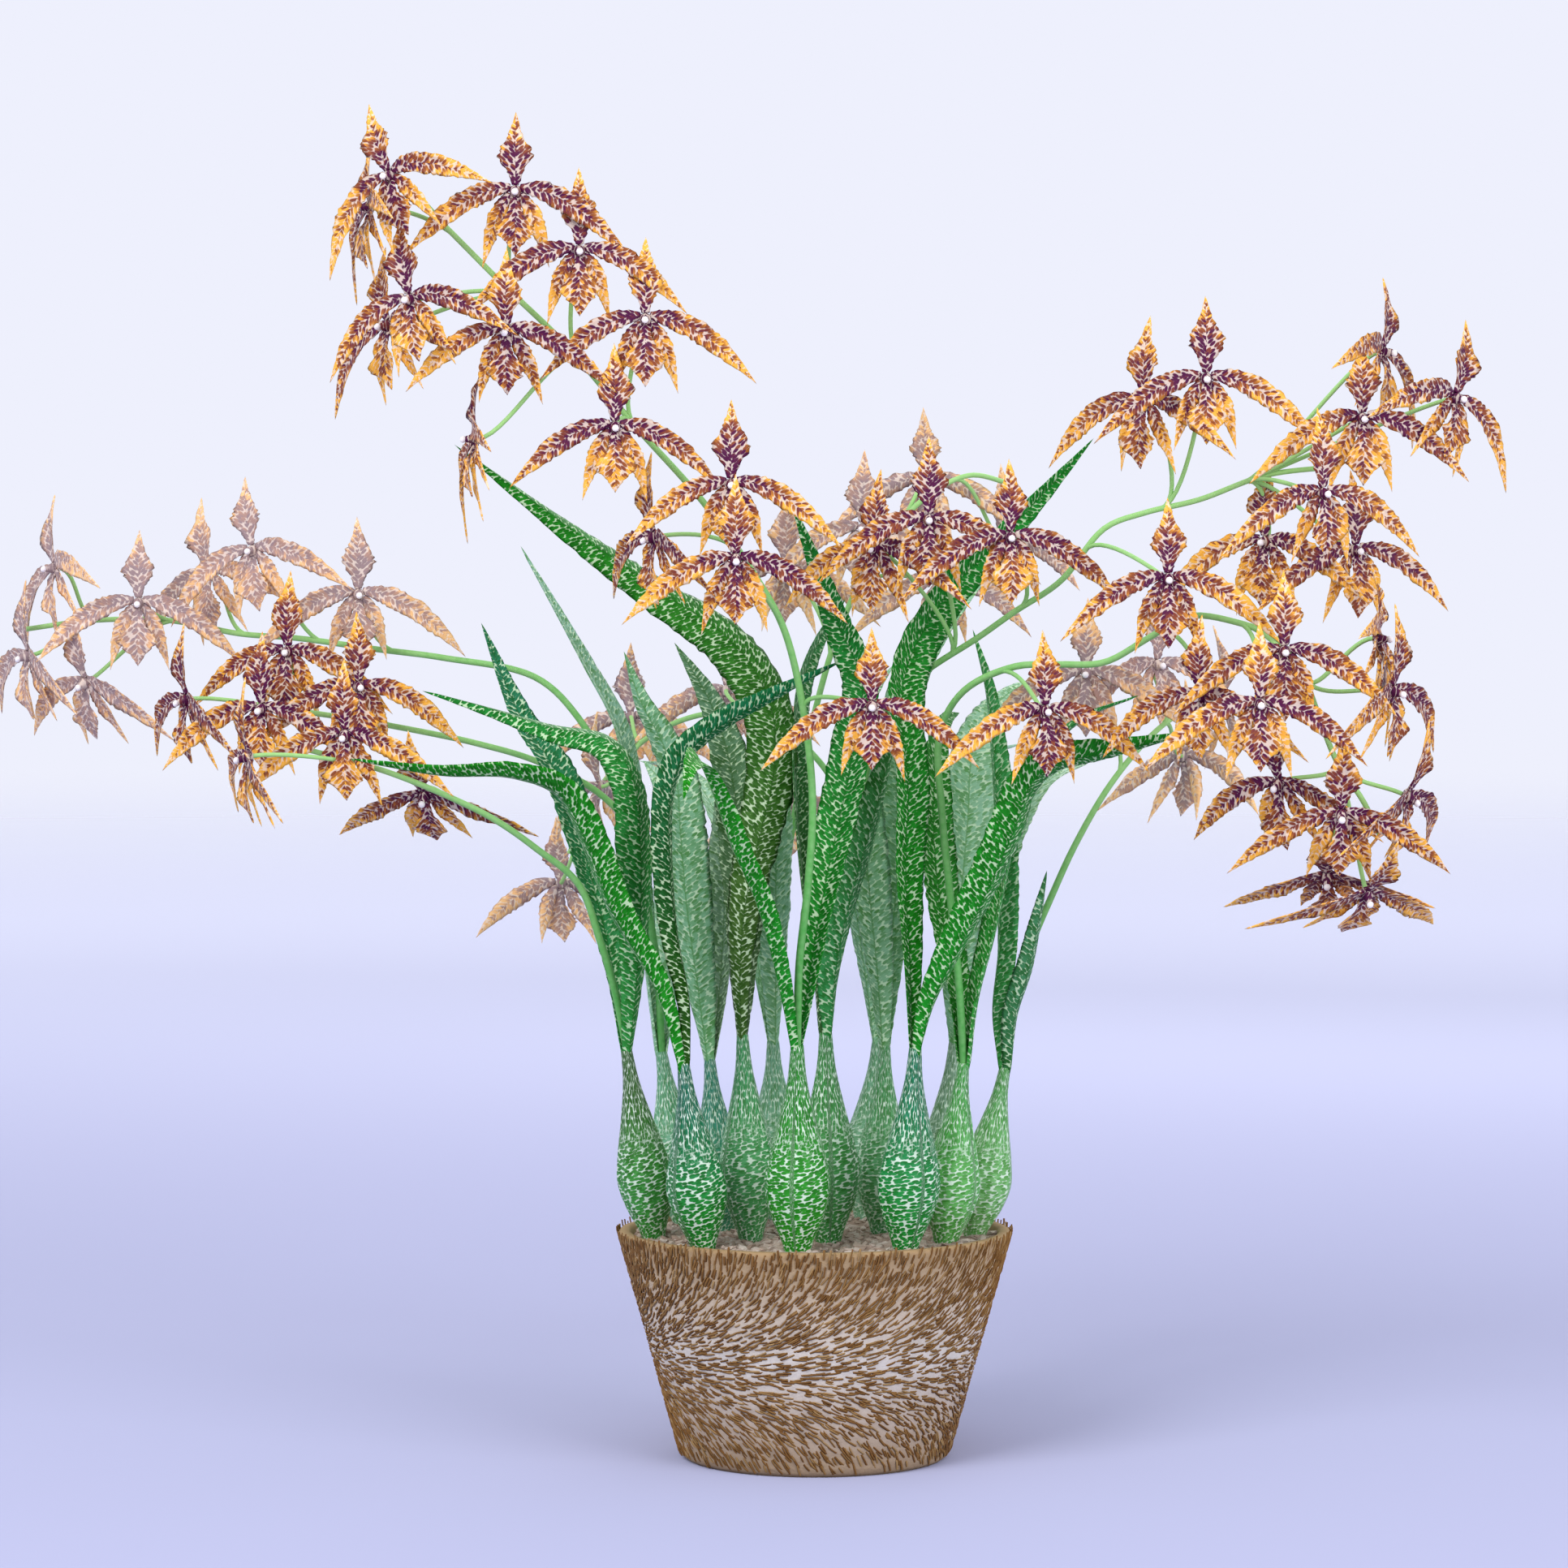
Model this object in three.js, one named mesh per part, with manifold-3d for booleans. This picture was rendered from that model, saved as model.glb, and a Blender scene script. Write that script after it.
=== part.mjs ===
// A potted orchid: a tapered fibre pot filled with bark mix, a ring of flask-shaped pseudobulbs
// with two strap leaves each, and arching sprays of star-shaped flowers.
// Millimetres, +Z up. The origin is the middle of the pot's foot and the front looks along -Y.
import * as THREE from 'three';
import { mergeVertices } from 'three/addons/utils/BufferGeometryUtils.js';
import Module from 'manifold-3d';

const wasm = await Module();
wasm.setup();

// Pot
const POT_HEIGHT = 104;
const RIM_RADIUS = 90;
const FOOT_RADIUS = 61;
const POT_WALL = 6;
const POT_FLOOR = 8;
const POT_SIDES = 32;
const DRAIN_HOLES = 4;
const DRAIN_RADIUS = 5;
const DRAIN_CIRCLE = 34;

// Potting mix
const GAP = 0.3;
const MIX_BELOW_RIM = 3;
const MIX_RELIEF = 1.6;
const MIX_RINGS = 4;
const MIX_SIDES = 16;

// Pseudobulbs: the radius along the height, from the foot in the mix to the neck
const BULB_SUNK = 8;
const BULB_SIDES = 7;
const BULB_FLAT = 0.86;
const BULB_PROFILE = [
  [0, 4.2], [0.12, 6.8], [0.25, 12], [0.38, 14.6], [0.52, 12.2], [0.68, 8], [0.85, 4.3], [1, 2.9],
];
const NECK_OFFSET = 2.7;
const NECK_GAP = 0.9;

// Leaves
const LEAF_RINGS = 9;
const LEAF_THICK = 1.7;
const LEAF_BASE_WIDTH = 4.4;
const LEAF_WIDEST = 0.5;
const LEAF_TAPER = 1.7;
const LEAF_THINNING = 0.35;
const FOLD_BASE = 34;
const FOLD_BLADE = 16;
const FOLD_EASE = 4;

// Flower sprays
const STEM_SIDES = 5;
const STEM_STEP = 38;
const STEM_BASE_RADIUS = 1.8;
const STEM_TIP_RADIUS = 1.2;
const FIRST_JOINT = 0.25;
const PEDICEL_RADIUS = 1.1;
const PEDICEL_LEAD = 20;
const PEDICEL_SIDES = 3;
const PEDICEL_STEPS = 2;
const PEDICEL_REACH = 13;
const PEDICEL_EASE = 0.4;
const HUB_RADIUS = 3.4;
const HUB_DEPTH = 3.2;
const HUB_BACK = 1;
const BLADE_ROOT = 2.7;
const COLUMN_LENGTH = 7;
const BLADE_THICK = 0.9;
const BLOOM_VARIATION = 0.05;

// The eye that the places below are seen from: right of the pot's axis, in front of it, above its foot
const EYE_RIGHT = -14;
const EYE_DISTANCE = 2200;
const EYE_UP = 377;

// A place given as seen from the front, then moved along the line of sight to its depth
function seen(right, up, back) {
  const spread = 1 + back / EYE_DISTANCE;
  return new THREE.Vector3(
    EYE_RIGHT + (right - EYE_RIGHT) * spread,
    back,
    EYE_UP + (up - EYE_UP) * spread,
  );
}

// Bulbs: foot [right, back], top [right, up, back]
const BULBS = [
  { foot: [-50, -48], top: [-60, 180, -58] },
  { foot: [-8, -64], top: [-8, 188, -72] },
  { foot: [40, -57], top: [46, 187, -66] },
  { foot: [59, -29], top: [68, 180, -34] },
  { foot: [73, 2], top: [87, 178, 0] },
  { foot: [-73, -13], top: [-86, 186, -20] },
  { foot: [6, -27], top: [5, 194, -30] },
  { foot: [-29, -20], top: [-33, 193, -20] },
  { foot: [-42, 12], top: [-48, 182, 14] },
  { foot: [-60, 44], top: [-70, 185, 52] },
  { foot: [31, 10], top: [32, 188, 12] },
  { foot: [59, 38], top: [64, 190, 48] },
  { foot: [-17, 58], top: [-19, 190, 70] },
  { foot: [25, 56], top: [29, 190, 66] },
];

// Leaves: the bulb, the direction each one faces out of its bulb in degrees (0 right, 90 back),
// its greatest width, its twist in degrees and the places that its midrib passes
const LEAVES = [
  { bulb: 1, out: 215, width: 25, twist: 0,
    path: [[-72, 214, -62], [-92, 250, -66], [-105, 284, -72], [-116, 303, -76], [-137, 311, -80],
      [-170, 312, -86], [-212, 319, -92]] },
  { bulb: 1, out: -28, width: 20, twist: 0,
    path: [[-58, 208, -58], [-64, 240, -58], [-67, 276, -56], [-66, 305, -52], [-60, 320, -48],
      [-42, 335, -42], [-20, 347, -36], [13, 364, -28]] },
  { bulb: 2, out: 205, width: 22, twist: 0,
    path: [[-15, 212, -78], [-25, 251, -86], [-36, 277, -94], [-45, 302, -104], [-52, 317, -118],
      [-57, 316, -140], [-60, 300, -160]] },
  { bulb: 2, out: 60, width: 22, twist: 0,
    path: [[-3, 212, -66], [2, 245, -62], [8, 275, -58], [14, 302, -54], [20, 335, -48], [22, 354, -44],
      [12, 378, -38], [3, 402, -32], [-11, 437, -26]] },
  { bulb: 3, out: 135, width: 24, twist: 0,
    path: [[43, 222, -60], [41, 268, -58], [42, 310, -54], [39, 338, -48], [42, 362, -40],
      [60, 394, -28], [88, 423, -16], [127, 465, 0]] },
  { bulb: 3, out: -45, width: 26, twist: 0,
    path: [[53, 207, -71], [64, 230, -76], [78, 258, -80], [90, 286, -84], [98, 307, -86],
      [110, 317, -86], [134, 322, -84], [172, 331, -78]] },
  { bulb: 4, out: 130, width: 22, twist: 0,
    path: [[64, 213, -28], [58, 245, -22], [54, 280, -18], [54, 306, -12], [55, 324, 0],
      [59, 336, 16], [66, 340, 36]] },
  { bulb: 4, out: 15, width: 24, twist: 0,
    path: [[74, 208, -34], [82, 240, -34], [88, 270, -32], [94, 298, -28], [106, 322, -22],
      [124, 338, -16], [148, 348, -8]] },
  { bulb: 5, out: 205, width: 22, twist: 0,
    path: [[82, 203, -3], [85, 230, -8], [85, 264, -8], [84, 296, -2], [82, 324, 2],
      [79, 350, 8], [72, 378, 16]] },
  { bulb: 5, out: -40, width: 14, twist: 0,
    path: [[91, 202, -6], [97, 222, -9], [102, 246, -12], [106, 268, -14]] },
  { bulb: 6, out: 130, width: 22, twist: 0,
    path: [[-92, 220, -10], [-100, 255, -4], [-109, 287, 2], [-119, 314, 8], [-135, 339, 16],
      [-152, 381, 26]] },
  { bulb: 6, out: -60, width: 24, twist: 40,
    path: [[-82, 214, -30], [-80, 245, -37], [-80, 280, -40], [-83, 308, -40], [-94, 326, -38],
      [-121, 333, -38], [-150, 342, -42], [-179, 350, -46]] },
  { bulb: 7, out: -40, width: 24, twist: 0,
    path: [[9, 222, -34], [16, 256, -37], [24, 284, -37], [30, 306, -35], [34, 322, -31],
      [37, 342, -27]] },
  { bulb: 7, out: 160, width: 22, twist: 0,
    path: [[0, 222, -24], [-5, 258, -18], [-8, 292, -12], [-9, 325, -4], [-7, 350, 10],
      [1, 372, 30], [14, 392, 52]] },
  { bulb: 8, out: -100, width: 27, twist: 60,
    path: [[-34, 222, -26], [-32, 250, -28], [-26, 280, -26], [-19, 312, -20], [-20, 342, -14],
      [-36, 370, -8], [-72, 396, -6], [-112, 424, -8], [-164, 462, -12]] },
  { bulb: 8, out: 100, width: 22, twist: 0,
    path: [[-33, 222, -10], [-33, 255, 1], [-35, 290, 13], [-40, 322, 28], [-48, 345, 44],
      [-64, 372, 64]] },
  { bulb: 9, out: -110, width: 24, twist: 0,
    path: [[-53, 214, 8], [-58, 250, 3], [-61, 285, -1], [-63, 310, -5], [-70, 328, -8],
      [-79, 345, -11], [-87, 368, -14]] },
  { bulb: 9, out: 50, width: 20, twist: 0,
    path: [[-43, 212, 20], [-41, 245, 26], [-40, 280, 34], [-40, 308, 46], [-44, 328, 66]] },
  { bulb: 10, out: 160, width: 22, twist: 0,
    path: [[-76, 215, 52], [-80, 255, 54], [-84, 295, 56], [-90, 332, 58], [-105, 362, 62],
      [-134, 416, 72]] },
  { bulb: 10, out: 50, width: 22, twist: 0,
    path: [[-66, 212, 62], [-64, 245, 72], [-64, 278, 84], [-68, 305, 100], [-78, 318, 126]] },
  { bulb: 11, out: 80, width: 24, twist: 0,
    path: [[34, 222, 20], [37, 256, 24], [40, 292, 28], [39, 325, 32], [42, 350, 36],
      [56, 376, 40], [80, 404, 46]] },
  { bulb: 11, out: -110, width: 20, twist: 0,
    path: [[29, 220, 4], [26, 250, 0], [23, 282, -2], [20, 312, 0], [18, 340, 6], [22, 372, 16]] },
  { bulb: 12, out: -100, width: 26, twist: 0,
    path: [[64, 222, 42], [67, 258, 40], [70, 292, 42], [72, 322, 50], [80, 340, 64],
      [94, 352, 84], [112, 356, 110]] },
  { bulb: 12, out: 50, width: 22, twist: 0,
    path: [[72, 218, 58], [80, 250, 70], [90, 282, 84], [104, 306, 102], [126, 318, 128]] },
  { bulb: 13, out: 140, width: 22, twist: 0,
    path: [[-26, 222, 80], [-34, 258, 92], [-44, 290, 108], [-58, 312, 130], [-80, 318, 158]] },
  { bulb: 13, out: -70, width: 20, twist: 0,
    path: [[-18, 222, 60], [-18, 256, 52], [-18, 290, 48], [-20, 322, 48], [-26, 350, 56],
      [-38, 380, 68]] },
  { bulb: 14, out: 20, width: 22, twist: 0,
    path: [[38, 222, 72], [46, 256, 82], [56, 290, 98], [70, 316, 118], [94, 326, 144]] },
  { bulb: 14, out: -130, width: 22, twist: 0,
    path: [[23, 224, 60], [18, 258, 58], [15, 292, 62], [17, 322, 70], [24, 346, 86],
      [36, 362, 110]] },
];

// Sprays: the bulb that the stem rises from, the places that the stem passes, and its blooms as
// [right, up, back, turn, nod, roll], with turn 0 facing the front and 90 facing right
const SPRAYS = [
  { name: 'left_high', bulb: 2,
    path: [[-7, 225, -76], [-3, 262, -82], [-1, 300, -86], [-5, 340, -86], [-14, 378, -86],
      [-27, 402, -86], [-50, 435, -86], [-83, 472, -86], [-112, 506, -88], [-142, 535, -90],
      [-172, 565, -92], [-190, 582, -92]],
    blooms: [[-193, 584, -108, -30, 0, 24], [-202, 570, -82, -75, 0, 20], [-136, 577, -104, 0, 0, 0],
      [-107, 550, -104, 4, 0, 0], [-77, 519, -104, 0, 0, 0], [-184, 528, -106, -22, 0, 12],
      [-194, 516, -80, -50, 0, 14], [-140, 514, -108, -8, 8, 0], [-154, 465, -92, -80, 0, 22],
      [-91, 470, -110, 5, 0, 0], [-38, 444, -112, 0, 0, 0], [-36, 410, -132, 3, 6, 0],
      [-73, 420, -96, -60, 10, 0], [26, 343, -104, 0, 0, 0]] },
  { name: 'right_high', bulb: 7,
    path: [[8, 228, -20], [15, 264, -12], [21, 300, -6], [28, 332, -6], [39, 350, -16],
      [55, 362, -32], [74, 374, -44], [91, 386, -50], [112, 400, -54], [132, 424, -58],
      [150, 431, -60], [175, 437, -62], [205, 448, -64], [236, 452, -66]],
    blooms: [[28, 415, -66, -28, 0, 0], [52, 428, -76, 0, 0, 0], [89, 420, -82, 5, 0, 0],
      [150, 482, -76, -35, 0, 0], [178, 492, -92, 0, 0, 0],
      [249, 474, -92, 5, 0, 0], [258, 504, -74, 60, 0, -20], [291, 483, -84, 40, 0, -20],
      [231, 440, -112, 20, 0, 0], [205, 418, -62, -25, 0, 0], [246, 414, -72, 20, 0, 0],
      [161, 401, -118, 0, 0, 0]] },
  { name: 'right_low', bulb: 4,
    path: [[66, 215, -40], [62, 255, -44], [58, 295, -44], [57, 330, -50], [68, 350, -62],
      [91, 361, -72], [111, 362, -80], [132, 363, -86], [152, 374, -92], [170, 384, -98],
      [193, 381, -104], [210, 374, -108], [222, 358, -110], [230, 338, -112], [238, 318, -112],
      [250, 300, -112], [258, 284, -112]],
    blooms: [[105, 341, -104, 12, 0, 0], [214, 368, -132, 0, 0, 0], [176, 348, -124, -30, 6, 0],
      [203, 344, -156, 0, 0, 0],
      [256, 374, -108, 75, 0, -30], [263, 350, -122, 55, 10, 0], [212, 308, -118, -35, 20, 0],
      [240, 294, -136, 0, 20, 0], [270, 302, -112, 60, 25, 0], [234, 266, -104, -10, 55, 0],
      [252, 258, -122, 25, 55, 0]] },
  { name: 'left_back', bulb: 10,
    path: [[-72, 225, 46], [-80, 268, 40], [-92, 308, 38], [-108, 338, 40], [-127, 356, 44],
      [-169, 365, 54], [-200, 369, 62], [-236, 374, 72], [-262, 376, 78], [-294, 382, 86],
      [-330, 382, 92], [-360, 378, 96]],
    blooms: [[-256, 414, 54, -20, 0, 10], [-276, 404, 84, -35, 0, 14], [-308, 390, 62, 0, 0, 0],
      [-208, 394, 40, 10, 0, 0], [-346, 406, 78, -60, 0, 20], [-358, 366, 84, -60, 10, 0],
      [-332, 354, 66, -40, 20, 0]] },
  { name: 'left_middle', bulb: 9,
    path: [[-56, 215, 22], [-66, 250, 28], [-78, 280, 28], [-98, 303, 28], [-127, 318, 28],
      [-154, 326, 26], [-177, 331, 22], [-216, 338, 14], [-245, 342, 8], [-268, 345, 4]],
    blooms: [[-286, 346, -2, -60, 10, 0], [-252, 342, -16, -15, 6, 0], [-208, 352, 0, 15, 0, 0],
      [-240, 368, 14, -10, 0, 0]] },
  { name: 'left_low', bulb: 6,
    path: [[-91, 212, -24], [-98, 236, -29], [-108, 262, -32], [-127, 278, -36], [-144, 290, -40],
      [-161, 299, -44], [-195, 313, -50], [-238, 325, -56]],
    blooms: [[-258, 320, -78, -72, 10, 0], [-178, 303, -32, -15, 45, 0], [-214, 330, -58, -10, 10, 0]] },
  { name: 'back_high', bulb: 13,
    path: [[-17, 225, 78], [-14, 262, 90], [-8, 300, 100], [0, 340, 108], [12, 380, 114],
      [28, 412, 120], [48, 436, 128], [70, 448, 142], [90, 444, 158]],
    blooms: [[50, 446, 150, 170, 0, 0], [22, 424, 104, -10, 0, 0], [-13, 406, 128, 200, 0, 0],
      [84, 420, 166, 150, 10, 0], [58, 400, 110, 20, 0, 0]] },
  { name: 'right_back', bulb: 5,
    path: [[89, 202, 6], [98, 232, 16], [108, 256, 22], [119, 280, 30], [134, 306, 40],
      [150, 326, 54], [164, 338, 72], [176, 340, 94]],
    blooms: [[124, 358, 34, -10, 0, 0], [156, 362, 50, 25, 0, 0], [186, 344, 100, 110, 0, 0],
      [168, 320, 96, 140, 10, 0]] },
  { name: 'back_low', bulb: 14,
    path: [[26, 226, 80], [20, 268, 96], [10, 306, 114], [-14, 332, 140], [-44, 340, 168],
      [-74, 330, 194], [-98, 306, 214], [-112, 276, 226]],
    blooms: [[-40, 350, 190, 170, 0, 0], [-84, 338, 214, 190, 5, 0], [-98, 306, 192, 240, 10, 0],
      [-116, 262, 230, 200, 20, 0], [-12, 300, 158, 160, 10, 0]] },
];

// Blades of one bloom in its own plane: u to the right, v up and n towards its face.
// Each runs from the hub through a bend to its tip, with its widths at one or two places.
const BLADES = [
  { angle: 90, bend: [0, 18, 2], tip: [0, 36, -5], widths: [[0.4, 15.5], [0.68, 7]] },
  { angle: 30, bend: [22, 1, 7], tip: [48, -28, 0], widths: [[0.27, 8.5], [0.64, 8.5]] },
  { angle: -30, bend: [9, -10, 2], tip: [14, -32, -3], widths: [[0.45, 7.5]] },
  { angle: -90, bend: [0, -13, 7], tip: [0, -29, 3], widths: [[0.34, 7.2], [0.62, 17.5]] },
  { angle: -150, bend: [-9, -10, 2], tip: [-14, -32, -3], widths: [[0.45, 7.5]] },
  { angle: 150, bend: [-22, 1, 7], tip: [-48, -28, 0], widths: [[0.27, 8.5], [0.64, 8.5]] },
];

// A fixed sequence of random numbers from 0 to 1
function randomFrom(seed) {
  let state = seed >>> 0;
  return () => {
    state = (Math.imul(state, 1664525) + 1013904223) >>> 0;
    return state / 4294967296;
  };
}

// A skin is built from rings of corners that run anticlockwise about the direction of growth
class Skin {
  points = [];

  faces = [];

  ring(corners) {
    const first = this.points.length;
    this.points.push(...corners);
    return corners.map((corner, index) => first + index);
  }

  band(from, to) {
    const sides = from.length;
    for (let side = 0; side < sides; side += 1) {
      const next = (side + 1) % sides;
      if (side < sides / 2) {
        this.faces.push(from[side], from[next], to[next], from[side], to[next], to[side]);
      } else {
        this.faces.push(from[side], from[next], to[side], from[next], to[next], to[side]);
      }
    }
  }

  point(ring, tip) {
    const end = this.points.push(tip) - 1;
    ring.forEach((corner, side) => this.faces.push(corner, ring[(side + 1) % ring.length], end));
  }

  lid(ring) {
    for (let side = 1; side < ring.length - 1; side += 1) {
      this.faces.push(ring[0], ring[side], ring[side + 1]);
    }
  }

  geometry() {
    const geometry = new THREE.BufferGeometry();
    const numbers = this.points.flatMap((point) => point.toArray());
    geometry.setAttribute('position', new THREE.Float32BufferAttribute(numbers, 3));
    geometry.setIndex(this.faces);
    return geometry;
  }
}

// Solids for cutting and joining, and back again
function toSolid(geometry) {
  const bare = geometry.clone();
  bare.deleteAttribute('normal');
  bare.deleteAttribute('uv');
  const merged = mergeVertices(bare, 1e-4);
  const mesh = new wasm.Mesh({
    numProp: 3,
    vertProperties: new Float32Array(merged.attributes.position.array),
    triVerts: new Uint32Array(merged.index.array),
  });
  return new wasm.Manifold(mesh);
}

function toGeometry(solid) {
  const mesh = solid.getMesh();
  const geometry = new THREE.BufferGeometry();
  geometry.setAttribute('position', new THREE.BufferAttribute(mesh.vertProperties, 3));
  geometry.setIndex(new THREE.BufferAttribute(mesh.triVerts, 1));
  return geometry;
}

function direction(degrees) {
  const angle = THREE.MathUtils.degToRad(degrees);
  return new THREE.Vector3(Math.cos(angle), Math.sin(angle), 0);
}

// Places along a curve, each with the way it runs and a face normal carried along without twisting
function walk(curve, steps, startNormal) {
  const normal = startNormal.clone();
  return steps.map((step) => {
    const along = curve.getTangentAt(step);
    normal.addScaledVector(along, -normal.dot(along)).normalize();
    return { step, at: curve.getPointAt(step), along, normal: normal.clone() };
  });
}

function evenSteps(count) {
  return Array.from({ length: count }, (unused, index) => index / count);
}

// A round rod along a curve, as thick as radius(step) says
function rod(curve, count, sides, radius) {
  const skin = new Skin();
  const places = walk(curve, [...evenSteps(count), 1], new THREE.Vector3(0.2, -1, 0.1));
  const rings = places.map(({ step, at, along, normal }) => {
    const left = new THREE.Vector3().crossVectors(normal, along);
    const corners = Array.from({ length: sides }, (unused, side) => {
      const angle = (side / sides) * Math.PI * 2;
      return at.clone()
        .addScaledVector(normal, Math.cos(angle) * radius(step))
        .addScaledVector(left, -Math.sin(angle) * radius(step));
    });
    return skin.ring(corners);
  });
  skin.lid([...rings[0]].reverse());
  rings.slice(1).forEach((ring, index) => skin.band(rings[index], ring));
  skin.lid(rings[rings.length - 1]);
  return skin.geometry();
}

// Pot: a straight-sided cup with drain holes in its floor
function potGeometry() {
  const slope = (RIM_RADIUS - FOOT_RADIUS) / POT_HEIGHT;
  const innerFoot = FOOT_RADIUS + slope * POT_FLOOR - POT_WALL;
  const profile = [
    [0, 0], [FOOT_RADIUS - 2, 0], [FOOT_RADIUS, 2], [RIM_RADIUS, POT_HEIGHT - 2],
    [RIM_RADIUS - 2, POT_HEIGHT], [RIM_RADIUS - POT_WALL, POT_HEIGHT], [innerFoot, POT_FLOOR],
    [0, POT_FLOOR],
  ].map(([radius, height]) => new THREE.Vector2(radius, height));
  const cup = new THREE.LatheGeometry(profile, POT_SIDES).rotateX(Math.PI / 2);
  let solid = toSolid(cup);
  for (let hole = 0; hole < DRAIN_HOLES; hole += 1) {
    const centre = direction(45 + (hole * 360) / DRAIN_HOLES).multiplyScalar(DRAIN_CIRCLE);
    const drain = new THREE.CylinderGeometry(DRAIN_RADIUS, DRAIN_RADIUS, POT_FLOOR * 3, 8)
      .rotateX(Math.PI / 2).translate(centre.x, centre.y, 0);
    solid = solid.subtract(toSolid(drain));
  }
  return toGeometry(solid);
}

// Bulb: a flask-shaped body, a little flattened, leaning from its foot to its top
function bulbGeometry({ foot, top }, extra = 0) {
  const mixTop = POT_HEIGHT - MIX_BELOW_RIM;
  const up = seen(...top);
  const down = new THREE.Vector3(foot[0], foot[1], mixTop);
  const lean = up.clone().sub(down).normalize();
  const start = down.clone().addScaledVector(lean, -BULB_SUNK - extra);
  const length = up.distanceTo(start);
  const turn = new THREE.Quaternion().setFromUnitVectors(new THREE.Vector3(0, 0, 1), lean);
  const skin = new Skin();
  const outward = Math.atan2(foot[1], foot[0]);
  const rings = BULB_PROFILE.map(([step, radius]) => skin.ring(
    Array.from({ length: BULB_SIDES }, (unused, side) => {
      const angle = ((side + 0.5) / BULB_SIDES) * Math.PI * 2;
      const reach = radius + extra;
      const corner = new THREE.Vector3(Math.cos(angle) * reach * BULB_FLAT, Math.sin(angle) * reach, 0)
        .applyAxisAngle(new THREE.Vector3(0, 0, 1), outward);
      corner.z = step * length;
      return corner.applyQuaternion(turn).add(start);
    }),
  ));
  skin.lid([...rings[0]].reverse());
  rings.slice(1).forEach((ring, index) => skin.band(rings[index], ring));
  skin.lid(rings[rings.length - 1]);
  return skin.geometry();
}

// Potting mix: fills the pot, with an uneven top and a hole round the foot of each bulb
function mixGeometry() {
  const slope = (RIM_RADIUS - FOOT_RADIUS) / POT_HEIGHT;
  const top = POT_HEIGHT - MIX_BELOW_RIM;
  const bottom = POT_FLOOR + GAP;
  const radiusAt = (height) => FOOT_RADIUS + slope * height - POT_WALL - GAP * 2;
  const random = randomFrom(11);
  const skin = new Skin();
  const around = (radius, height, relief) => skin.ring(
    Array.from({ length: MIX_SIDES }, (unused, side) => {
      const angle = (side / MIX_SIDES) * Math.PI * 2;
      const lift = relief * (random() * 2 - 1);
      return new THREE.Vector3(Math.cos(angle) * radius, Math.sin(angle) * radius, height + lift);
    }),
  );
  const wallTop = radiusAt(top - MIX_RELIEF);
  const rings = [around(radiusAt(bottom), bottom, 0), around(wallTop, top - MIX_RELIEF, 0)];
  for (let ring = 1; ring < MIX_RINGS; ring += 1) {
    rings.push(around(wallTop * (1 - ring / MIX_RINGS), top, MIX_RELIEF));
  }
  skin.lid([...rings[0]].reverse());
  rings.slice(1).forEach((ring, index) => skin.band(rings[index], ring));
  skin.point(rings[rings.length - 1], new THREE.Vector3(0, 0, top));
  const holes = BULBS.map((bulb) => toSolid(bulbGeometry(bulb, GAP)));
  return toGeometry(holes.reduce((solid, hole) => solid.subtract(hole), toSolid(skin.geometry())));
}

// The smooth midline that a leaf or a stem follows from its foot
function midline(foot, path) {
  const places = path.map((place) => seen(...place));
  return new THREE.CatmullRomCurve3([foot, ...places], false, 'centripetal');
}

// Leaf: a folded strap that is narrow at its foot, broad in the middle and pointed at its tip
function leafWidth(step, width) {
  if (step < LEAF_WIDEST) {
    const rise = Math.sin((step / LEAF_WIDEST) * (Math.PI / 2));
    return LEAF_BASE_WIDTH + (width - LEAF_BASE_WIDTH) * rise;
  }
  return width * (1 - ((step - LEAF_WIDEST) / (1 - LEAF_WIDEST)) ** LEAF_TAPER);
}

function leafGeometry({ bulb, out, width, twist, path }) {
  const outward = direction(out);
  const neck = seen(...BULBS[bulb - 1].top);
  const foot = neck.clone().addScaledVector(outward, NECK_OFFSET);
  foot.z += NECK_GAP;
  const curve = midline(foot, path);
  const places = walk(curve, evenSteps(LEAF_RINGS), outward.clone().negate());
  const skin = new Skin();
  const rings = places.map(({ step, at, along, normal }) => {
    const face = normal.clone().applyAxisAngle(along, THREE.MathUtils.degToRad(twist * step));
    const left = new THREE.Vector3().crossVectors(face, along);
    const half = leafWidth(step, width) / 2;
    const fold = THREE.MathUtils.degToRad(FOLD_BLADE + (FOLD_BASE - FOLD_BLADE) * (1 - step) ** FOLD_EASE);
    const thick = LEAF_THICK * (1 - step * LEAF_THINNING);
    const edge = (side) => at.clone()
      .addScaledVector(left, side * half * Math.cos(fold))
      .addScaledVector(face, half * Math.sin(fold));
    return skin.ring([
      edge(1),
      at.clone().addScaledVector(face, thick / 2),
      edge(-1),
      at.clone().addScaledVector(face, -thick / 2),
    ]);
  });
  skin.lid([...rings[0]].reverse());
  rings.slice(1).forEach((ring, index) => skin.band(rings[index], ring));
  skin.point(rings[rings.length - 1], curve.getPointAt(1));
  return skin.geometry();
}

// Bloom: a six-sided hub whose sides grow out into the sepals, petals and lip
function bloomFrame([right, up, back, turn, nod, roll]) {
  const centre = seen(right, up, back);
  const towards = direction(turn - 90);
  const face = towards.clone().multiplyScalar(Math.cos(THREE.MathUtils.degToRad(nod)));
  face.z = -Math.sin(THREE.MathUtils.degToRad(nod));
  const across = new THREE.Vector3().crossVectors(new THREE.Vector3(0, 0, 1), face).normalize();
  across.applyAxisAngle(face, THREE.MathUtils.degToRad(roll));
  const upward = new THREE.Vector3().crossVectors(face, across);
  const place = (u, v, n) => centre.clone()
    .addScaledVector(across, u).addScaledVector(upward, v).addScaledVector(face, n);
  return { centre, face, place };
}

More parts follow.
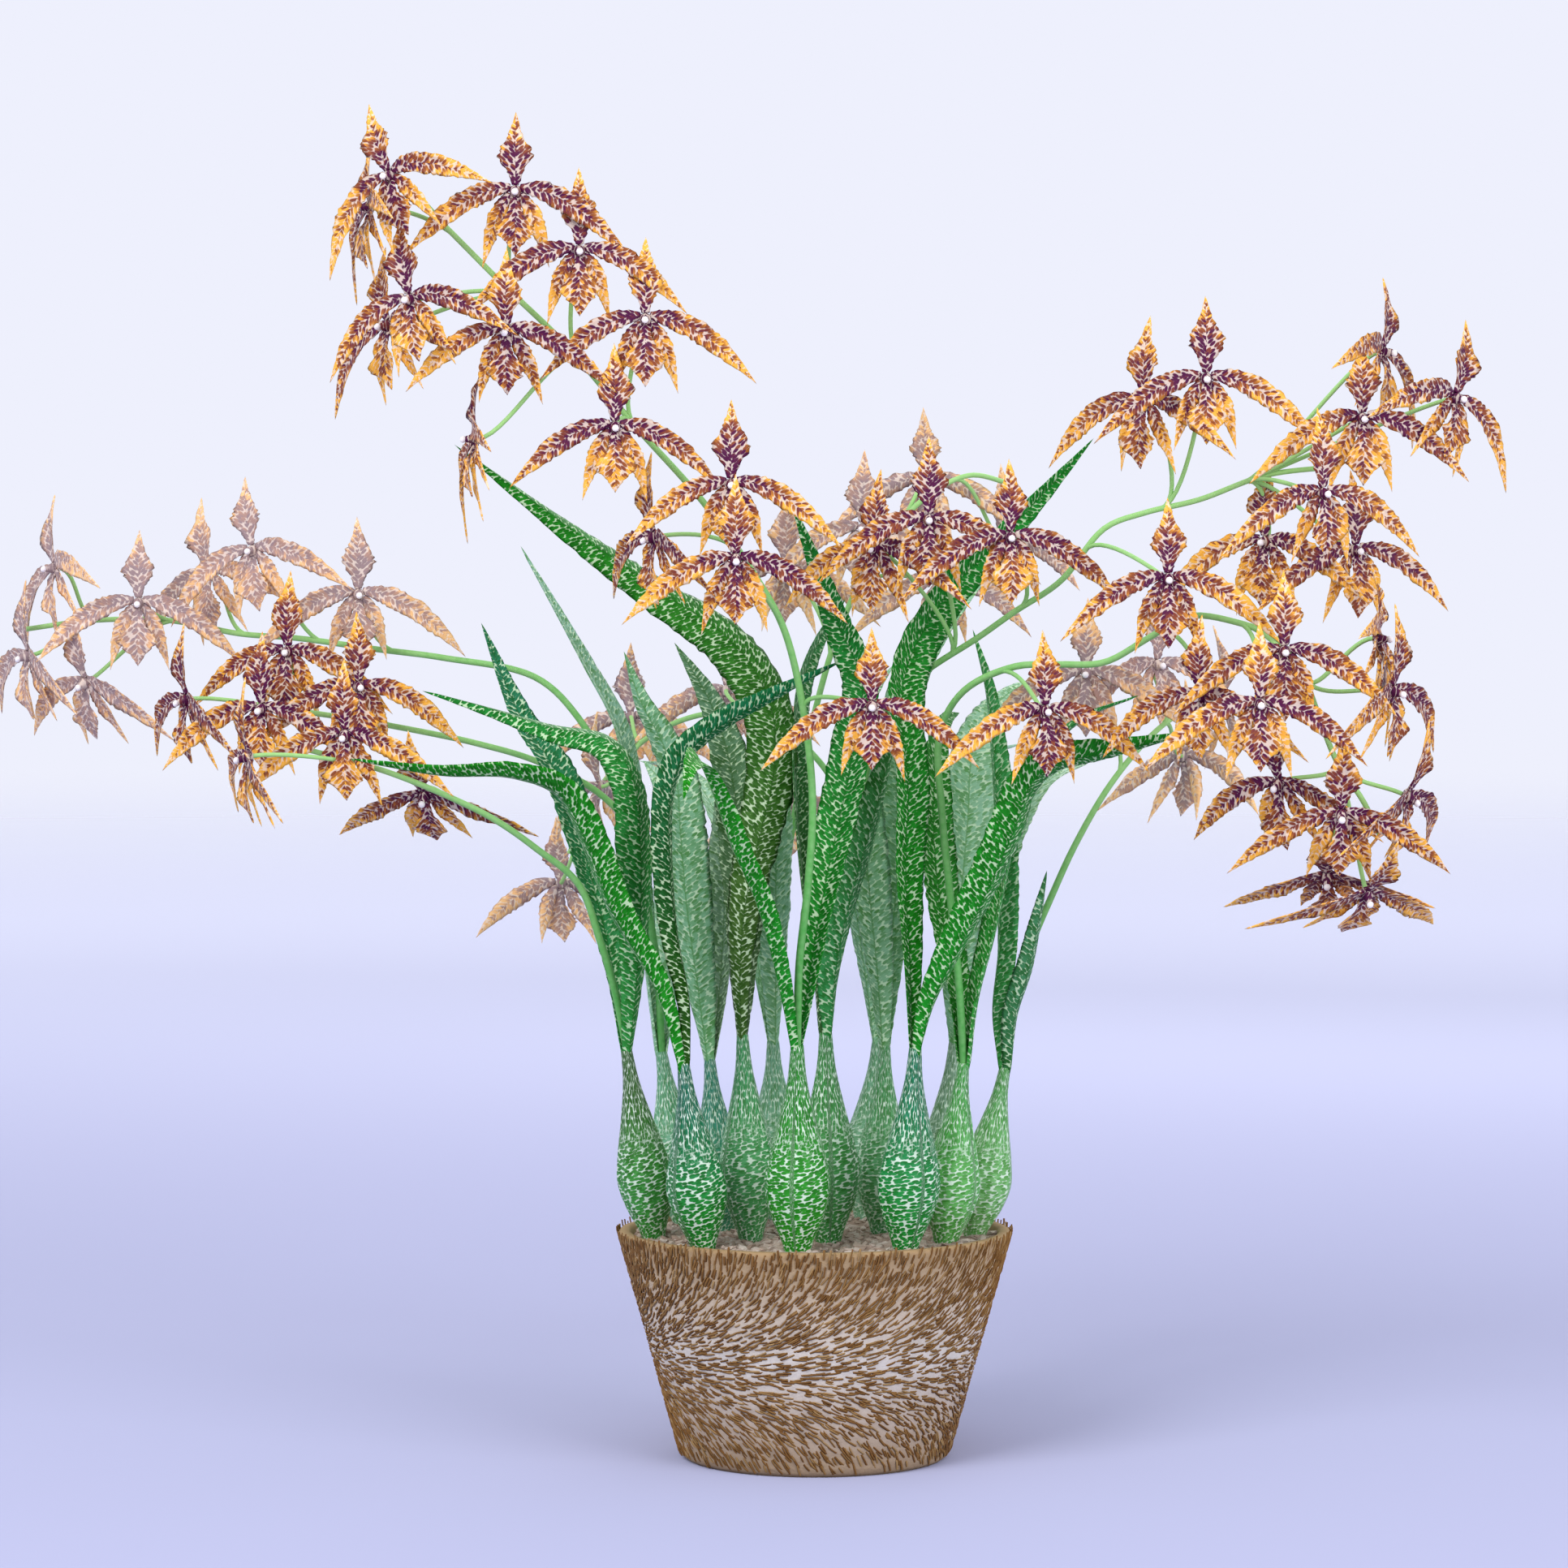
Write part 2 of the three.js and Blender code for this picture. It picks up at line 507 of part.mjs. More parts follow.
function bloomGeometry(row, random) {
  const { place } = bloomFrame(row);
  const vary = () => 1 + (random() * 2 - 1) * BLOOM_VARIATION;
  const skin = new Skin();
  const corner = (degrees, n) => {
    const spot = direction(degrees).multiplyScalar(HUB_RADIUS);
    return place(spot.x, spot.y, n);
  };
  const turns = [0, 60, 120, 180, 240, 300];
  const front = skin.ring(turns.map((degrees) => corner(degrees, HUB_DEPTH / 2)));
  const back = skin.ring(turns.map((degrees) => corner(degrees, -HUB_DEPTH / 2)));
  skin.point(front, place(0, -1, COLUMN_LENGTH));
  skin.lid([...back].reverse());
  BLADES.forEach(({ angle, bend, tip, widths }) => {
    const size = vary();
    const left = (((angle + 30) / 60) + 6) % 6;
    const right = (left + 5) % 6;
    const root = direction(angle).multiplyScalar(BLADE_ROOT);
    const curve = new THREE.QuadraticBezierCurve3(
      new THREE.Vector3(root.x, root.y, 0),
      new THREE.Vector3(...bend).multiplyScalar(size),
      new THREE.Vector3(...tip).multiplyScalar(size),
    );
    let ring = [front[left], front[right], back[right], back[left]];
    widths.forEach(([step, width]) => {
      const at = curve.getPoint(step);
      const along = curve.getTangent(step);
      const side = new THREE.Vector3().crossVectors(new THREE.Vector3(0, 0, 1), along).normalize();
      const flat = new THREE.Vector3().crossVectors(along, side).normalize();
      const spot = (s, t) => {
        const local = at.clone().addScaledVector(side, (s * width * size) / 2)
          .addScaledVector(flat, (t * BLADE_THICK) / 2);
        return place(local.x, local.y, local.z);
      };
      const next = skin.ring([spot(1, 1), spot(-1, 1), spot(-1, -1), spot(1, -1)]);
      skin.band(ring, next);
      ring = next;
    });
    const end = curve.getPoint(1);
    skin.point(ring, place(end.x, end.y, end.z));
  });
  return skin.geometry();
}

// Pedicel: the thin stalk from one of the stem's joints to the back of a bloom
function pedicelGeometry(row, stem, joints) {
  const { centre, face } = bloomFrame(row);
  const nearest = (place) => joints.reduce((best, joint) => (
    stem.getPointAt(joint).distanceTo(place) < stem.getPointAt(best).distanceTo(place) ? joint : best
  ));
  const beside = nearest(centre);
  const joint = nearest(centre.clone().addScaledVector(stem.getTangentAt(beside), -PEDICEL_LEAD));
  const root = stem.getPointAt(joint);
  const reach = Math.min(PEDICEL_REACH, root.distanceTo(centre) * PEDICEL_EASE);
  const curve = new THREE.CubicBezierCurve3(
    root,
    root.clone().addScaledVector(stem.getTangentAt(joint), reach),
    centre.clone().addScaledVector(face, -reach),
    centre.clone().addScaledVector(face, -HUB_BACK),
  );
  return rod(curve, PEDICEL_STEPS, PEDICEL_SIDES, () => PEDICEL_RADIUS);
}

// Spray: one stem with its pedicels and blooms, grown together
function sprayGeometry({ bulb, path, blooms }, seed) {
  const foot = seen(...BULBS[bulb - 1].top);
  foot.z += NECK_GAP;
  const stem = midline(foot, path);
  const count = Math.round(stem.getLength() / STEM_STEP);
  const joints = evenSteps(count).filter((step) => step > FIRST_JOINT);
  const radius = (step) => STEM_BASE_RADIUS + (STEM_TIP_RADIUS - STEM_BASE_RADIUS) * step;
  const random = randomFrom(seed);
  let solid = toSolid(rod(stem, count, STEM_SIDES, radius));
  blooms.forEach((row) => {
    const bloom = toSolid(bloomGeometry(row, random));
    solid = solid.add(bloom.add(toSolid(pedicelGeometry(row, stem, joints))));
  });
  return toGeometry(solid);
}

// Assembly
const MATERIALS = {
  pot: new THREE.MeshStandardMaterial({ color: '#7d5a32', roughness: 0.95, metalness: 0 }),
  mix: new THREE.MeshStandardMaterial({ color: '#8d7a66', roughness: 0.95, metalness: 0 }),
  bulb: new THREE.MeshStandardMaterial({ color: '#3b9444', roughness: 0.5, metalness: 0 }),
  leaf: new THREE.MeshStandardMaterial({ color: '#1f8426', roughness: 0.45, metalness: 0 }),
  bloom: new THREE.MeshStandardMaterial({ color: '#9a5a30', roughness: 0.55, metalness: 0 }),
};

function part(name, geometry, material) {
  const mesh = new THREE.Mesh(geometry, material);
  mesh.name = name;
  return mesh;
}

const twoDigits = (number) => String(number).padStart(2, '0');

const pottedOrchid = new THREE.Group();
pottedOrchid.add(part('pot', potGeometry(), MATERIALS.pot));
pottedOrchid.add(part('potting_mix', mixGeometry(), MATERIALS.mix));
BULBS.forEach((bulb, index) => {
  pottedOrchid.add(part(`pseudobulb_${twoDigits(index + 1)}`, bulbGeometry(bulb), MATERIALS.bulb));
});
LEAVES.forEach((leaf, index) => {
  const letter = index % 2 === 0 ? 'a' : 'b';
  pottedOrchid.add(part(`leaf_${twoDigits(leaf.bulb)}${letter}`, leafGeometry(leaf), MATERIALS.leaf));
});
SPRAYS.forEach((spray, index) => {
  pottedOrchid.add(part(`spray_${spray.name}`, sprayGeometry(spray, index + 21), MATERIALS.bloom));
});

export default pottedOrchid;
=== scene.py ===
# %% [markdown]
# A potted orchid
# The object is a fibre pot filled with bark mix, fourteen flask-shaped bulbs with two strap leaves
# each, and nine arching sprays of star-shaped flowers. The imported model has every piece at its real
# size and place, with few faces. This file loads it first, because each fine piece made below is
# laid over a packed one and has to keep its form.

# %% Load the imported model
import math

import bpy
import numpy as np
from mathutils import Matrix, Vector, noise


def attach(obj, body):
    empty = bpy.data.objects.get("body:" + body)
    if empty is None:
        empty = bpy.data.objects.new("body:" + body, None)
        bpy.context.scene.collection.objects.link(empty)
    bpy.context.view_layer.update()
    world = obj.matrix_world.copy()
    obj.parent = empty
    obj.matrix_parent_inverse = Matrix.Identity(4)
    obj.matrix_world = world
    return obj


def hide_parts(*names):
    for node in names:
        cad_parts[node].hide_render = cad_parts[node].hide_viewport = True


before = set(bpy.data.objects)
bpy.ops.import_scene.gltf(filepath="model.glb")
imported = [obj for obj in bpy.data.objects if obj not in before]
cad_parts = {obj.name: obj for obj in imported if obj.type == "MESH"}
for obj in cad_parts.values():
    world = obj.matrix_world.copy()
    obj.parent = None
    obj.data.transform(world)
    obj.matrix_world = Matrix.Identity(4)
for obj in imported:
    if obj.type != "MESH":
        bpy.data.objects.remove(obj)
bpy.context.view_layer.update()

MM = 0.001
print("packed nodes:", len(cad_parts))

# %% [markdown]
# The camera, the light and the floor
# The picture is taken from a little above the middle of the plant, a good two metres away, so the
# pot's rim is seen almost edge on. A camera is one eye point, one aim point and one focal length, and
# here all three are worked out from the size of the picture where the plant stands. The light is as
# soft as in a studio tent: a pale sky on all sides and three large lamps, because hard light would
# hide the colours of the flowers. The floor is a disc that fades out, so it has no horizon, and its
# paper is painted paler where the lamps no longer reach it and darker near the pot: painted light.

# %% The eye
EYE_RIGHT = -14
EYE_DISTANCE = 2200
EYE_UP = 377
AIM_UP = 307.5
PICTURE_WIDTH = 714.8
SENSOR_WIDTH = 36


def aimed(thing, place, aim):
    """Puts a camera or a lamp at a place and turns it towards another."""
    thing.location = place
    thing.rotation_euler = (Vector(aim) - Vector(place)).to_track_quat("-Z", "Y").to_euler()


def in_scene(name, data):
    """A new object with the data that it shows."""
    thing = bpy.data.objects.new(name, data)
    bpy.context.collection.objects.link(thing)
    return thing


def add_camera():
    """The eye that the plant is seen from."""
    data = bpy.data.cameras.new("eye")
    data.sensor_width = SENSOR_WIDTH
    data.lens = SENSOR_WIDTH * EYE_DISTANCE / PICTURE_WIDTH
    data.dof.use_dof = False
    camera = in_scene("eye", data)
    aimed(camera, (EYE_RIGHT * MM, -EYE_DISTANCE * MM, EYE_UP * MM), (EYE_RIGHT * MM, 0, AIM_UP * MM))
    bpy.context.scene.camera = camera
    return camera


print("focal length:", round(add_camera().data.lens, 1), "mm")

# %% Colours and nodes


def linear(colour):
    """A colour written as #rrggbb, as the numbers that Blender's light sums need."""
    parts = [int(colour[start:start + 2], 16) / 255 for start in (1, 3, 5)]
    return [part / 12.92 if part <= 0.04045 else ((part + 0.055) / 1.055) ** 2.4 for part in parts] + [1.0]


def add(tree, kind, inputs=None, **settings):
    """Adds a node with its settings, and its links or values by input."""
    node = tree.nodes.new(kind)
    for name, value in settings.items():
        setattr(node, name, value)
    for key, value in (inputs or {}).items():
        if isinstance(value, bpy.types.NodeSocket):
            tree.links.new(value, node.inputs[key])
        else:
            node.inputs[key].default_value = value
    return node


def ramp(tree, value, *stops):
    """The colour that a ramp of positions and colours has at a value."""
    node = add(tree, "ShaderNodeValToRGB", {0: value})
    elements = node.color_ramp.elements
    while len(elements) < len(stops):
        elements.new(0.5)
    for element, (position, colour) in zip(elements, stops):
        element.position = position
        element.color = linear(colour)
    return node.outputs[0]


def eased(tree, value, start, end, low=0.0, high=1.0):
    """A number that goes softly from low to high while a value goes from start to end."""
    limits = {"Value": value, "From Min": start, "From Max": end, "To Min": low, "To Max": high}
    return add(tree, "ShaderNodeMapRange", limits, interpolation_type="SMOOTHSTEP").outputs[0]


def speckle(tree, scale, detail=2, roughness=0.5):
    """Noise that is fixed to the object, with its scale in specks a metre."""
    place = add(tree, "ShaderNodeTexCoord").outputs["Object"]
    limits = {"Vector": place, "Scale": scale, "Detail": detail, "Roughness": roughness}
    return add(tree, "ShaderNodeTexNoise", limits).outputs[0]


def number(tree, operation, first, second=0.5):
    """One sum on numbers. The second isn't used where the sum needs one number."""
    return add(tree, "ShaderNodeMath", {0: first, 1: second}, operation=operation).outputs[0]


def vector(tree, operation, first, second=(0, 0, 0)):
    """One sum on vectors."""
    return add(tree, "ShaderNodeVectorMath", {0: first, 1: second}, operation=operation).outputs[0]


def attribute(tree, name):
    """The outputs of a named value that the mesh carries."""
    return add(tree, "ShaderNodeAttribute", attribute_name=name).outputs


# %% Light, sky and floor
SKY = "#eef0fd"
SKY_STRENGTH = 1.0
LAMPS = [
    ("key lamp", (-1.3, -1.9, 1.9), 1.3, 40),
    ("fill lamp", (1.7, -1.9, 0.8), 1.6, 26),
    ("rim lamp", (0.5, 1.9, 1.5), 1.3, 14),
]
LAMP_AIM = (0, 0, 0.3)


def add_sky():
    """A pale sky of one colour, which lights the plant from all sides."""
    world = bpy.data.worlds.new("tent")
    world.use_nodes = True
    world.node_tree.nodes["Background"].inputs["Color"].default_value = linear(SKY)
    world.node_tree.nodes["Background"].inputs["Strength"].default_value = SKY_STRENGTH
    bpy.context.scene.world = world
    bpy.context.scene.view_settings.view_transform = "Standard"


def add_lamp(name, place, size, power):
    """One square soft lamp."""
    data = bpy.data.lights.new(name, "AREA")
    data.size = size
    data.energy = power
    aimed(in_scene(name, data), place, LAMP_AIM)


add_sky()
for lamp_row in LAMPS:
    add_lamp(*lamp_row)
print("lamps:", len(LAMPS))

# %% The floor
FLOOR_RADIUS = 12.0
FLOOR_CLEAR = 1.0
FLOOR_FADED = 0.95
FLOOR_SIDES = 96
# Metres from the middle over which the paper's painted light goes from dark to pale.
PAINTED_LIGHT_SPAN = (0.5, 4.5)


def pale_paper():
    """Matt backdrop paper, painted paler away from the pot: painted light. It turns clear towards its edge, so
    the eye finds no horizon.
    """
    material = bpy.data.materials.new("pale_backdrop_paper")
    material.use_nodes = True
    tree = material.node_tree
    tree.nodes.clear()
    place = add(tree, "ShaderNodeTexCoord")
    reach = add(tree, "ShaderNodeVectorMath", {0: place.outputs["Object"]}, operation="LENGTH")
    fade = eased(tree, reach.outputs["Value"], FLOOR_CLEAR, FLOOR_RADIUS * FLOOR_FADED)
    # Painted light: the paper is darker near the pot and paler further out, where the lamps no longer reach.
    tone = ramp(tree, eased(tree, reach.outputs["Value"], *PAINTED_LIGHT_SPAN), (0.0, "#abadc8"), (1.0, "#e2e4f8"))
    paper = add(tree, "ShaderNodeBsdfDiffuse", {"Color": tone, "Roughness": 0.6})
    clear = add(tree, "ShaderNodeBsdfTransparent")
    mixed = add(tree, "ShaderNodeMixShader", {0: fade, 1: paper.outputs[0], 2: clear.outputs[0]})
    add(tree, "ShaderNodeOutputMaterial", {"Surface": mixed.outputs[0]})
    return material


def add_floor():
    """A flat disc of backdrop paper under the pot."""
    steps = np.linspace(0, 2 * math.pi, FLOOR_SIDES, endpoint=False)
    corners = [(math.cos(a) * FLOOR_RADIUS, math.sin(a) * FLOOR_RADIUS, 0) for a in steps]
    mesh = bpy.data.meshes.new("floor")
    mesh.from_pydata(corners, [], [list(range(len(corners)))])
    mesh.materials.append(pale_paper())
    floor = in_scene("floor", mesh)


add_floor()
print("floor radius:", FLOOR_RADIUS, "m")

# %% [markdown]
# Paths, rings and meshes
# Bulbs, leaves and petals are all skins stretched over rings of points that follow a path. A leaf's
# path is a smooth curve through a few places that its midrib passes, and the ring's own turn is
# carried along the path, so that the blade never twists by itself. Three helpers do that for every
# piece: one draws the curve, one walks along it in even steps, and one carries the turn.

# %% Places and paths


def unit(vectors):
    """The same directions, one long each."""
    return vectors / np.linalg.norm(vectors, axis=-1, keepdims=True)


def seen(right, up, back):
    """A place given as seen from the front, moved along the line of sight to its depth, in millimetres."""
    spread = 1 + back / EYE_DISTANCE
    return np.array([EYE_RIGHT + (right - EYE_RIGHT) * spread, back, EYE_UP + (up - EYE_UP) * spread])


def heading(degrees):
    """A level direction: 0 is right and 90 is back."""
    return np.array([math.cos(math.radians(degrees)), math.sin(math.radians(degrees)), 0.0])


def smooth_path(points, divisions=40):
    """A centripetal Catmull-Rom curve through the points, which neither loops nor overshoots."""
    points = np.asarray(points, float)
    padded = np.vstack([2 * points[0] - points[1], points, 2 * points[-1] - points[-2]])
    t = np.linspace(0, 1, divisions, endpoint=False)[:, None]
    pieces = []
    for first in range(len(points) - 1):
        a, b, c, d = padded[first:first + 4]
        before, between, after = (np.linalg.norm(gap) ** 0.5 for gap in (b - a, c - b, d - c))
        leave = ((b - a) / before - (c - a) / (before + between) + (c - b) / between) * between
        arrive = ((c - b) / between - (d - b) / (between + after) + (d - c) / after) * between
        pieces.append(b + leave * t + (3 * (c - b) - 2 * leave - arrive) * t ** 2
                      + (2 * (b - c) + leave + arrive) * t ** 3)
    return np.vstack([*pieces, points[-1]])


def walk(path, steps):
    """Points, directions and millimetres from the start, at fractions of the path's length."""
    lengths = np.concatenate([[0], np.cumsum(np.linalg.norm(np.diff(path, axis=0), axis=1))])
    reached = np.asarray(steps) * lengths[-1]

    def at(length):
        return np.column_stack([np.interp(length, lengths, path[:, axis]) for axis in range(3)])

    half_step = lengths[-1] * 0.004
    return at(reached), unit(at(reached + half_step) - at(reached - half_step)), reached


def carried(directions, start):
    """A normal carried along a path without twisting."""
    normals = []
    normal = np.asarray(start, float)
    for direction in directions:
        normal = unit(normal - direction * normal.dot(direction))
        normals.append(normal)
    return np.array(normals)


def turned(vectors, axes, angles):
    """Vectors turned about unit axes at right angles to them."""
    angles = np.asarray(angles)[:, None]
    return vectors * np.cos(angles) + np.cross(axes, vectors) * np.sin(angles)


# %% Rings into skins
VALUE_KINDS = {1: ("FLOAT", "value"), 3: ("FLOAT_VECTOR", "vector"), 4: ("FLOAT_COLOR", "color")}


def tube_faces(rings, sides, first=0, tip=False):
    """Faces between rings that run anticlockwise about their path, closed at both ends."""
    starts = first + np.arange(rings - 1)[:, None] * sides
    side = np.arange(sides)[None, :]
    after = (side + 1) % sides
    corners = [starts + side, starts + after, starts + sides + after, starts + sides + side]
    faces = np.stack(corners, axis=-1).reshape(-1, 4).tolist()
    faces.append(list(range(first + sides - 1, first - 1, -1)))
    last = first + (rings - 1) * sides
    if tip:
        faces.extend([last + one, last + (one + 1) % sides, last + sides] for one in range(sides))
    else:
        faces.append(list(range(last, last + sides)))
    return faces


def make_piece(name, points, faces, materials=(), indices=None, edges=(), **attributes):
    """A named mesh object from points in millimetres, with the values that its materials or its tree
    read at each point."""
    mesh = bpy.data.meshes.new(name)
    mesh.from_pydata((np.asarray(points) * MM).tolist(), edges, faces)
    for material in materials:
        mesh.materials.append(material)
    for title, values in attributes.items():
        values = np.asarray(values, np.float32).reshape(len(points), -1)
        kind, field = VALUE_KINDS[values.shape[1]]
        mesh.attributes.new(title, kind, "POINT").data.foreach_set(field, values.ravel())
    if indices is not None:
        mesh.polygons.foreach_set("material_index", np.asarray(indices, np.int32))
    mesh.polygons.foreach_set("use_smooth", np.ones(len(mesh.polygons), bool))
    mesh.update()
    return in_scene(name, mesh)


def lay_row(across, along, third=0):
    """What a ring's colours go by: millimetres across, millimetres along and one more number."""
    return np.column_stack([across, np.full_like(across, along), np.zeros_like(across) + third])


def toned(low, high, share):
    """Colours between two, by a share that is kept from 0 to 1."""
    return low + (high - low) * np.clip(share, 0, 1)


def frayed(side, amounts, power):
    """Places across a blade with its two edges moved in or out, and the middle left as it is."""
    return side * (1 + np.where(side > 0, *amounts) * np.abs(side) ** power)


def placed(piece, slot, *nodes):
    """Hangs a finished piece under the root body and hides the imported nodes that it is laid over."""
    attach(piece, "root")
    if nodes:
        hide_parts(*nodes)
    return piece


# %% [markdown]
# Short strokes of colour
# Seen close, every green and brown surface of this plant is broken into short strokes a millimetre
# or so wide, with paler tissue between them. Painting them by hand would take an image, so they are
# made by a cell pattern instead: its cells are stretched along the way the strokes run, the middle of
# each cell is the stroke and its border is the gap. Each cell also gives one random number, which
# makes no two strokes alike. The pattern lies on coordinates in millimetres that each mesh carries,
# so the strokes follow a leaf or a petal wherever it bends.

# %% The stroke pattern
GREEN_STROKE = (1.25, 2.9)
PETAL_STROKE = (1.3, 3.0)
LEAF_EDGES = (0.48, 0.68)
BULB_EDGES = (0.45, 0.65)
PETAL_EDGES = (0.43, 0.64)
LEAF_GAP = 0.64
BULB_GAP = 0.74
PETAL_GAP = 0.62
SIDE_SHIFT = 71
SKIN_RELIEF = 0.12
BLADE_RELIEF = 0.1


def start_material(name, roughness, gloss=0.5):
    """The node tree of a material that is as rough and as glossy as given, and a function that ends
    it: it takes the colour and, for a relief, a height from 0 to 1 and its depth in millimetres."""
    material = bpy.data.materials.new(name)
    material.use_nodes = True
    tree = material.node_tree
    tree.nodes.clear()
    shader = add(tree, "ShaderNodeBsdfPrincipled", {"Roughness": roughness, "Specular IOR Level": gloss})
    add(tree, "ShaderNodeOutputMaterial", {"Surface": shader.outputs[0]})

    def paint(colour, height=None, depth=0):
        tree.links.new(colour, shader.inputs["Base Color"])
        if height is not None:
            bump = add(tree, "ShaderNodeBump", {"Height": height, "Distance": depth * MM, "Strength": 1.0})
            tree.links.new(bump.outputs[0], shader.inputs["Normal"])
        return material

    return tree, paint


def strokes(tree, place, size, edges):
    """Strokes that run along the second coordinate of place, with their width and length in
    millimetres. A stroke ends between two distances from the middle of its cell."""
    cells = vector(tree, "MULTIPLY", place, (1 / size[0], 1 / size[1], 0))
    pattern = add(tree, "ShaderNodeTexVoronoi", {"Vector": cells, "Scale": 1, "Randomness": 0.85},
                  voronoi_dimensions="2D")
    chance = add(tree, "ShaderNodeSeparateColor", {0: pattern.outputs["Color"]})
    return eased(tree, pattern.outputs["Distance"], *edges, 1.0, 0.0), chance.outputs["Red"]


def spun(tree, place, degrees):
    """A place turned about the third axis."""
    turn = {"Vector": place, "Angle": math.radians(degrees)}
    return add(tree, "ShaderNodeVectorRotate", turn, rotation_type="Z_AXIS").outputs[0]


def slanted(tree, degrees):
    """Places on a blade, turned away from its midrib on each half and shifted on one half, so that
    the two aren't mirror images. With them come the millimetres from the midrib and the third value
    of the lay."""
    lay = add(tree, "ShaderNodeSeparateXYZ", {0: attribute(tree, "lay")["Vector"]}).outputs
    aside = number(tree, "ABSOLUTE", lay["X"])
    left = number(tree, "LESS_THAN", lay["X"], 0)
    along = number(tree, "ADD", number(tree, "MULTIPLY", left, SIDE_SHIFT), lay["Y"])
    half = add(tree, "ShaderNodeCombineXYZ", {"X": aside, "Y": along})
    return spun(tree, half.outputs[0], degrees), aside, lay["Z"]


def blend(tree, amount, low, high, way="MIX"):
    """The colour between two others."""
    mixed = add(tree, "ShaderNodeMix", {0: amount, 6: low, 7: high}, data_type="RGBA", blend_type=way)
    return mixed.outputs[2]


def flecked(tree, tint, mask, chance, dark, pale, share):
    """Strokes between a tint and a darker one, by chance, with gaps that are paler by a share. It
    gives that colour, and the darker tint for use along a rib."""
    darker = blend(tree, 1.0, tint, linear(dark), "MULTIPLY")
    stroke = blend(tree, chance, tint, darker)
    gap = blend(tree, share, tint, linear(pale))
    return blend(tree, mask, gap, stroke), darker


print("a petal's stroke covers its cell out to", PETAL_EDGES[0], "of its width")

# %% [markdown]
# The pot
# The pot is a tapered cup of coir, the coarse husk fibre of coconuts, pressed with a binder. Its
# wall could be one smooth lathe with a picture of fibres on it, but the real one is ragged at its rim
# and outline. So the wall is a lathe with a slightly uneven felt surface, and thousands of separate
# fibres are scattered over it by Geometry Nodes. They stand upright near the rim, slant and lie level
# round the middle, and stand again at the foot, which is how wound husk fibre gets pressed.

# %% Coir
POT_HEIGHT = 104
RIM_RADIUS = 90
FOOT_RADIUS = 61
POT_WALL = 6
POT_FLOOR = 8
DRAIN_HOLES = 4
DRAIN_RADIUS = 5
DRAIN_CIRCLE = 34
POT_SIDES = 160
CORNER = 2
FELT_DEPTH = 0.5
FELT_START = 3
FELT_RELIEF = 0.5
FELT_COARSE = 0.16
FELT_FINE = 0.45
SKIN_START = 3.5


def pressed_coir():
    """Coir felt: matt and dusty, paler round the middle of its height and darker towards the foot and the rim.
    """
    tree, paint = start_material("pressed_coir_felt", 0.95, 0.2)
    place = add(tree, "ShaderNodeTexCoord")
    axes = add(tree, "ShaderNodeSeparateXYZ", {0: place.outputs["Object"]})
    level = number(tree, "DIVIDE", axes.outputs["Z"], POT_HEIGHT * MM)
    ground = ramp(tree, level, (0.0, "#a48c70"), (0.3, "#c8bcb0"), (0.5, "#e0dcd6"), (0.68, "#d4c8b8"),
                  (0.86, "#bda88c"), (1.0, "#a88c66"))
    grit = speckle(tree, 420, 4, 0.6)
    speckled = blend(tree, grit, ground, linear("#967650"))
    return paint(blend(tree, 0.35, ground, speckled), grit, FELT_RELIEF)


def husk_fibre():
    """Single coir fibres: hard and dull brown, each a little darker or redder than the next."""
    tree, paint = start_material("coir_fibre", 0.8, 0.3)
    return paint(ramp(tree, attribute(tree, "shade")["Fac"], (0.0, "#704c22"), (0.45, "#815a2c"),
                      (0.8, "#8e6a3a"), (1.0, "#a8885a")))


# %% The pot's wall


def wall_radius(height):
    """The outer radius of the wall at a height."""
    return FOOT_RADIUS + (RIM_RADIUS - FOOT_RADIUS) * height / POT_HEIGHT


def pot_profile():
    """Radius and height: up the outside from the foot, over the rim and down the inside."""
    heights = np.linspace(CORNER, POT_HEIGHT - CORNER, 40)
    depths = np.linspace(POT_HEIGHT - 2 * CORNER, POT_FLOOR, 12)
    rim = [(RIM_RADIUS - 0.6, POT_HEIGHT - 0.6), (RIM_RADIUS - CORNER, POT_HEIGHT),
           (RIM_RADIUS - POT_WALL + 1, POT_HEIGHT), (RIM_RADIUS - POT_WALL, POT_HEIGHT - 1)]
    return [(FOOT_RADIUS - CORNER, 0), *[(wall_radius(height), height) for height in heights], *rim,
            *[(wall_radius(height) - POT_WALL, height) for height in depths]]


def pot_cup():
    """The cup, with a felted surface and its drain holes cut through the floor."""
    profile = pot_profile()
    angles = np.linspace(0, 2 * math.pi, POT_SIDES, endpoint=False)
    points = []
    for radius, height in profile:
        for angle in angles:
            spot = Vector((math.cos(angle) * radius, math.sin(angle) * radius, height))
            lift = noise.noise(spot * FELT_COARSE) + 0.6 * noise.noise(spot * FELT_FINE)
            reach = radius + (FELT_DEPTH * lift if height > FELT_START else 0)
            points.append((math.cos(angle) * reach, math.sin(angle) * reach, height))
    cup = make_piece("pot_cup", points, tube_faces(len(profile), POT_SIDES), [pressed_coir()])
    for hole in range(DRAIN_HOLES):
        centre = heading(45 + hole * 360 / DRAIN_HOLES) * DRAIN_CIRCLE * MM
        bpy.ops.mesh.primitive_cylinder_add(radius=DRAIN_RADIUS * MM, depth=POT_FLOOR * 3 * MM,
                                            vertices=24, location=tuple(centre))
        drill = bpy.context.object
        cut = cup.modifiers.new("drain", "BOOLEAN")
        cut.object = drill
        cut.solver = "EXACT"
        plain_mesh(cup)
        bpy.data.objects.remove(drill)
    return cup


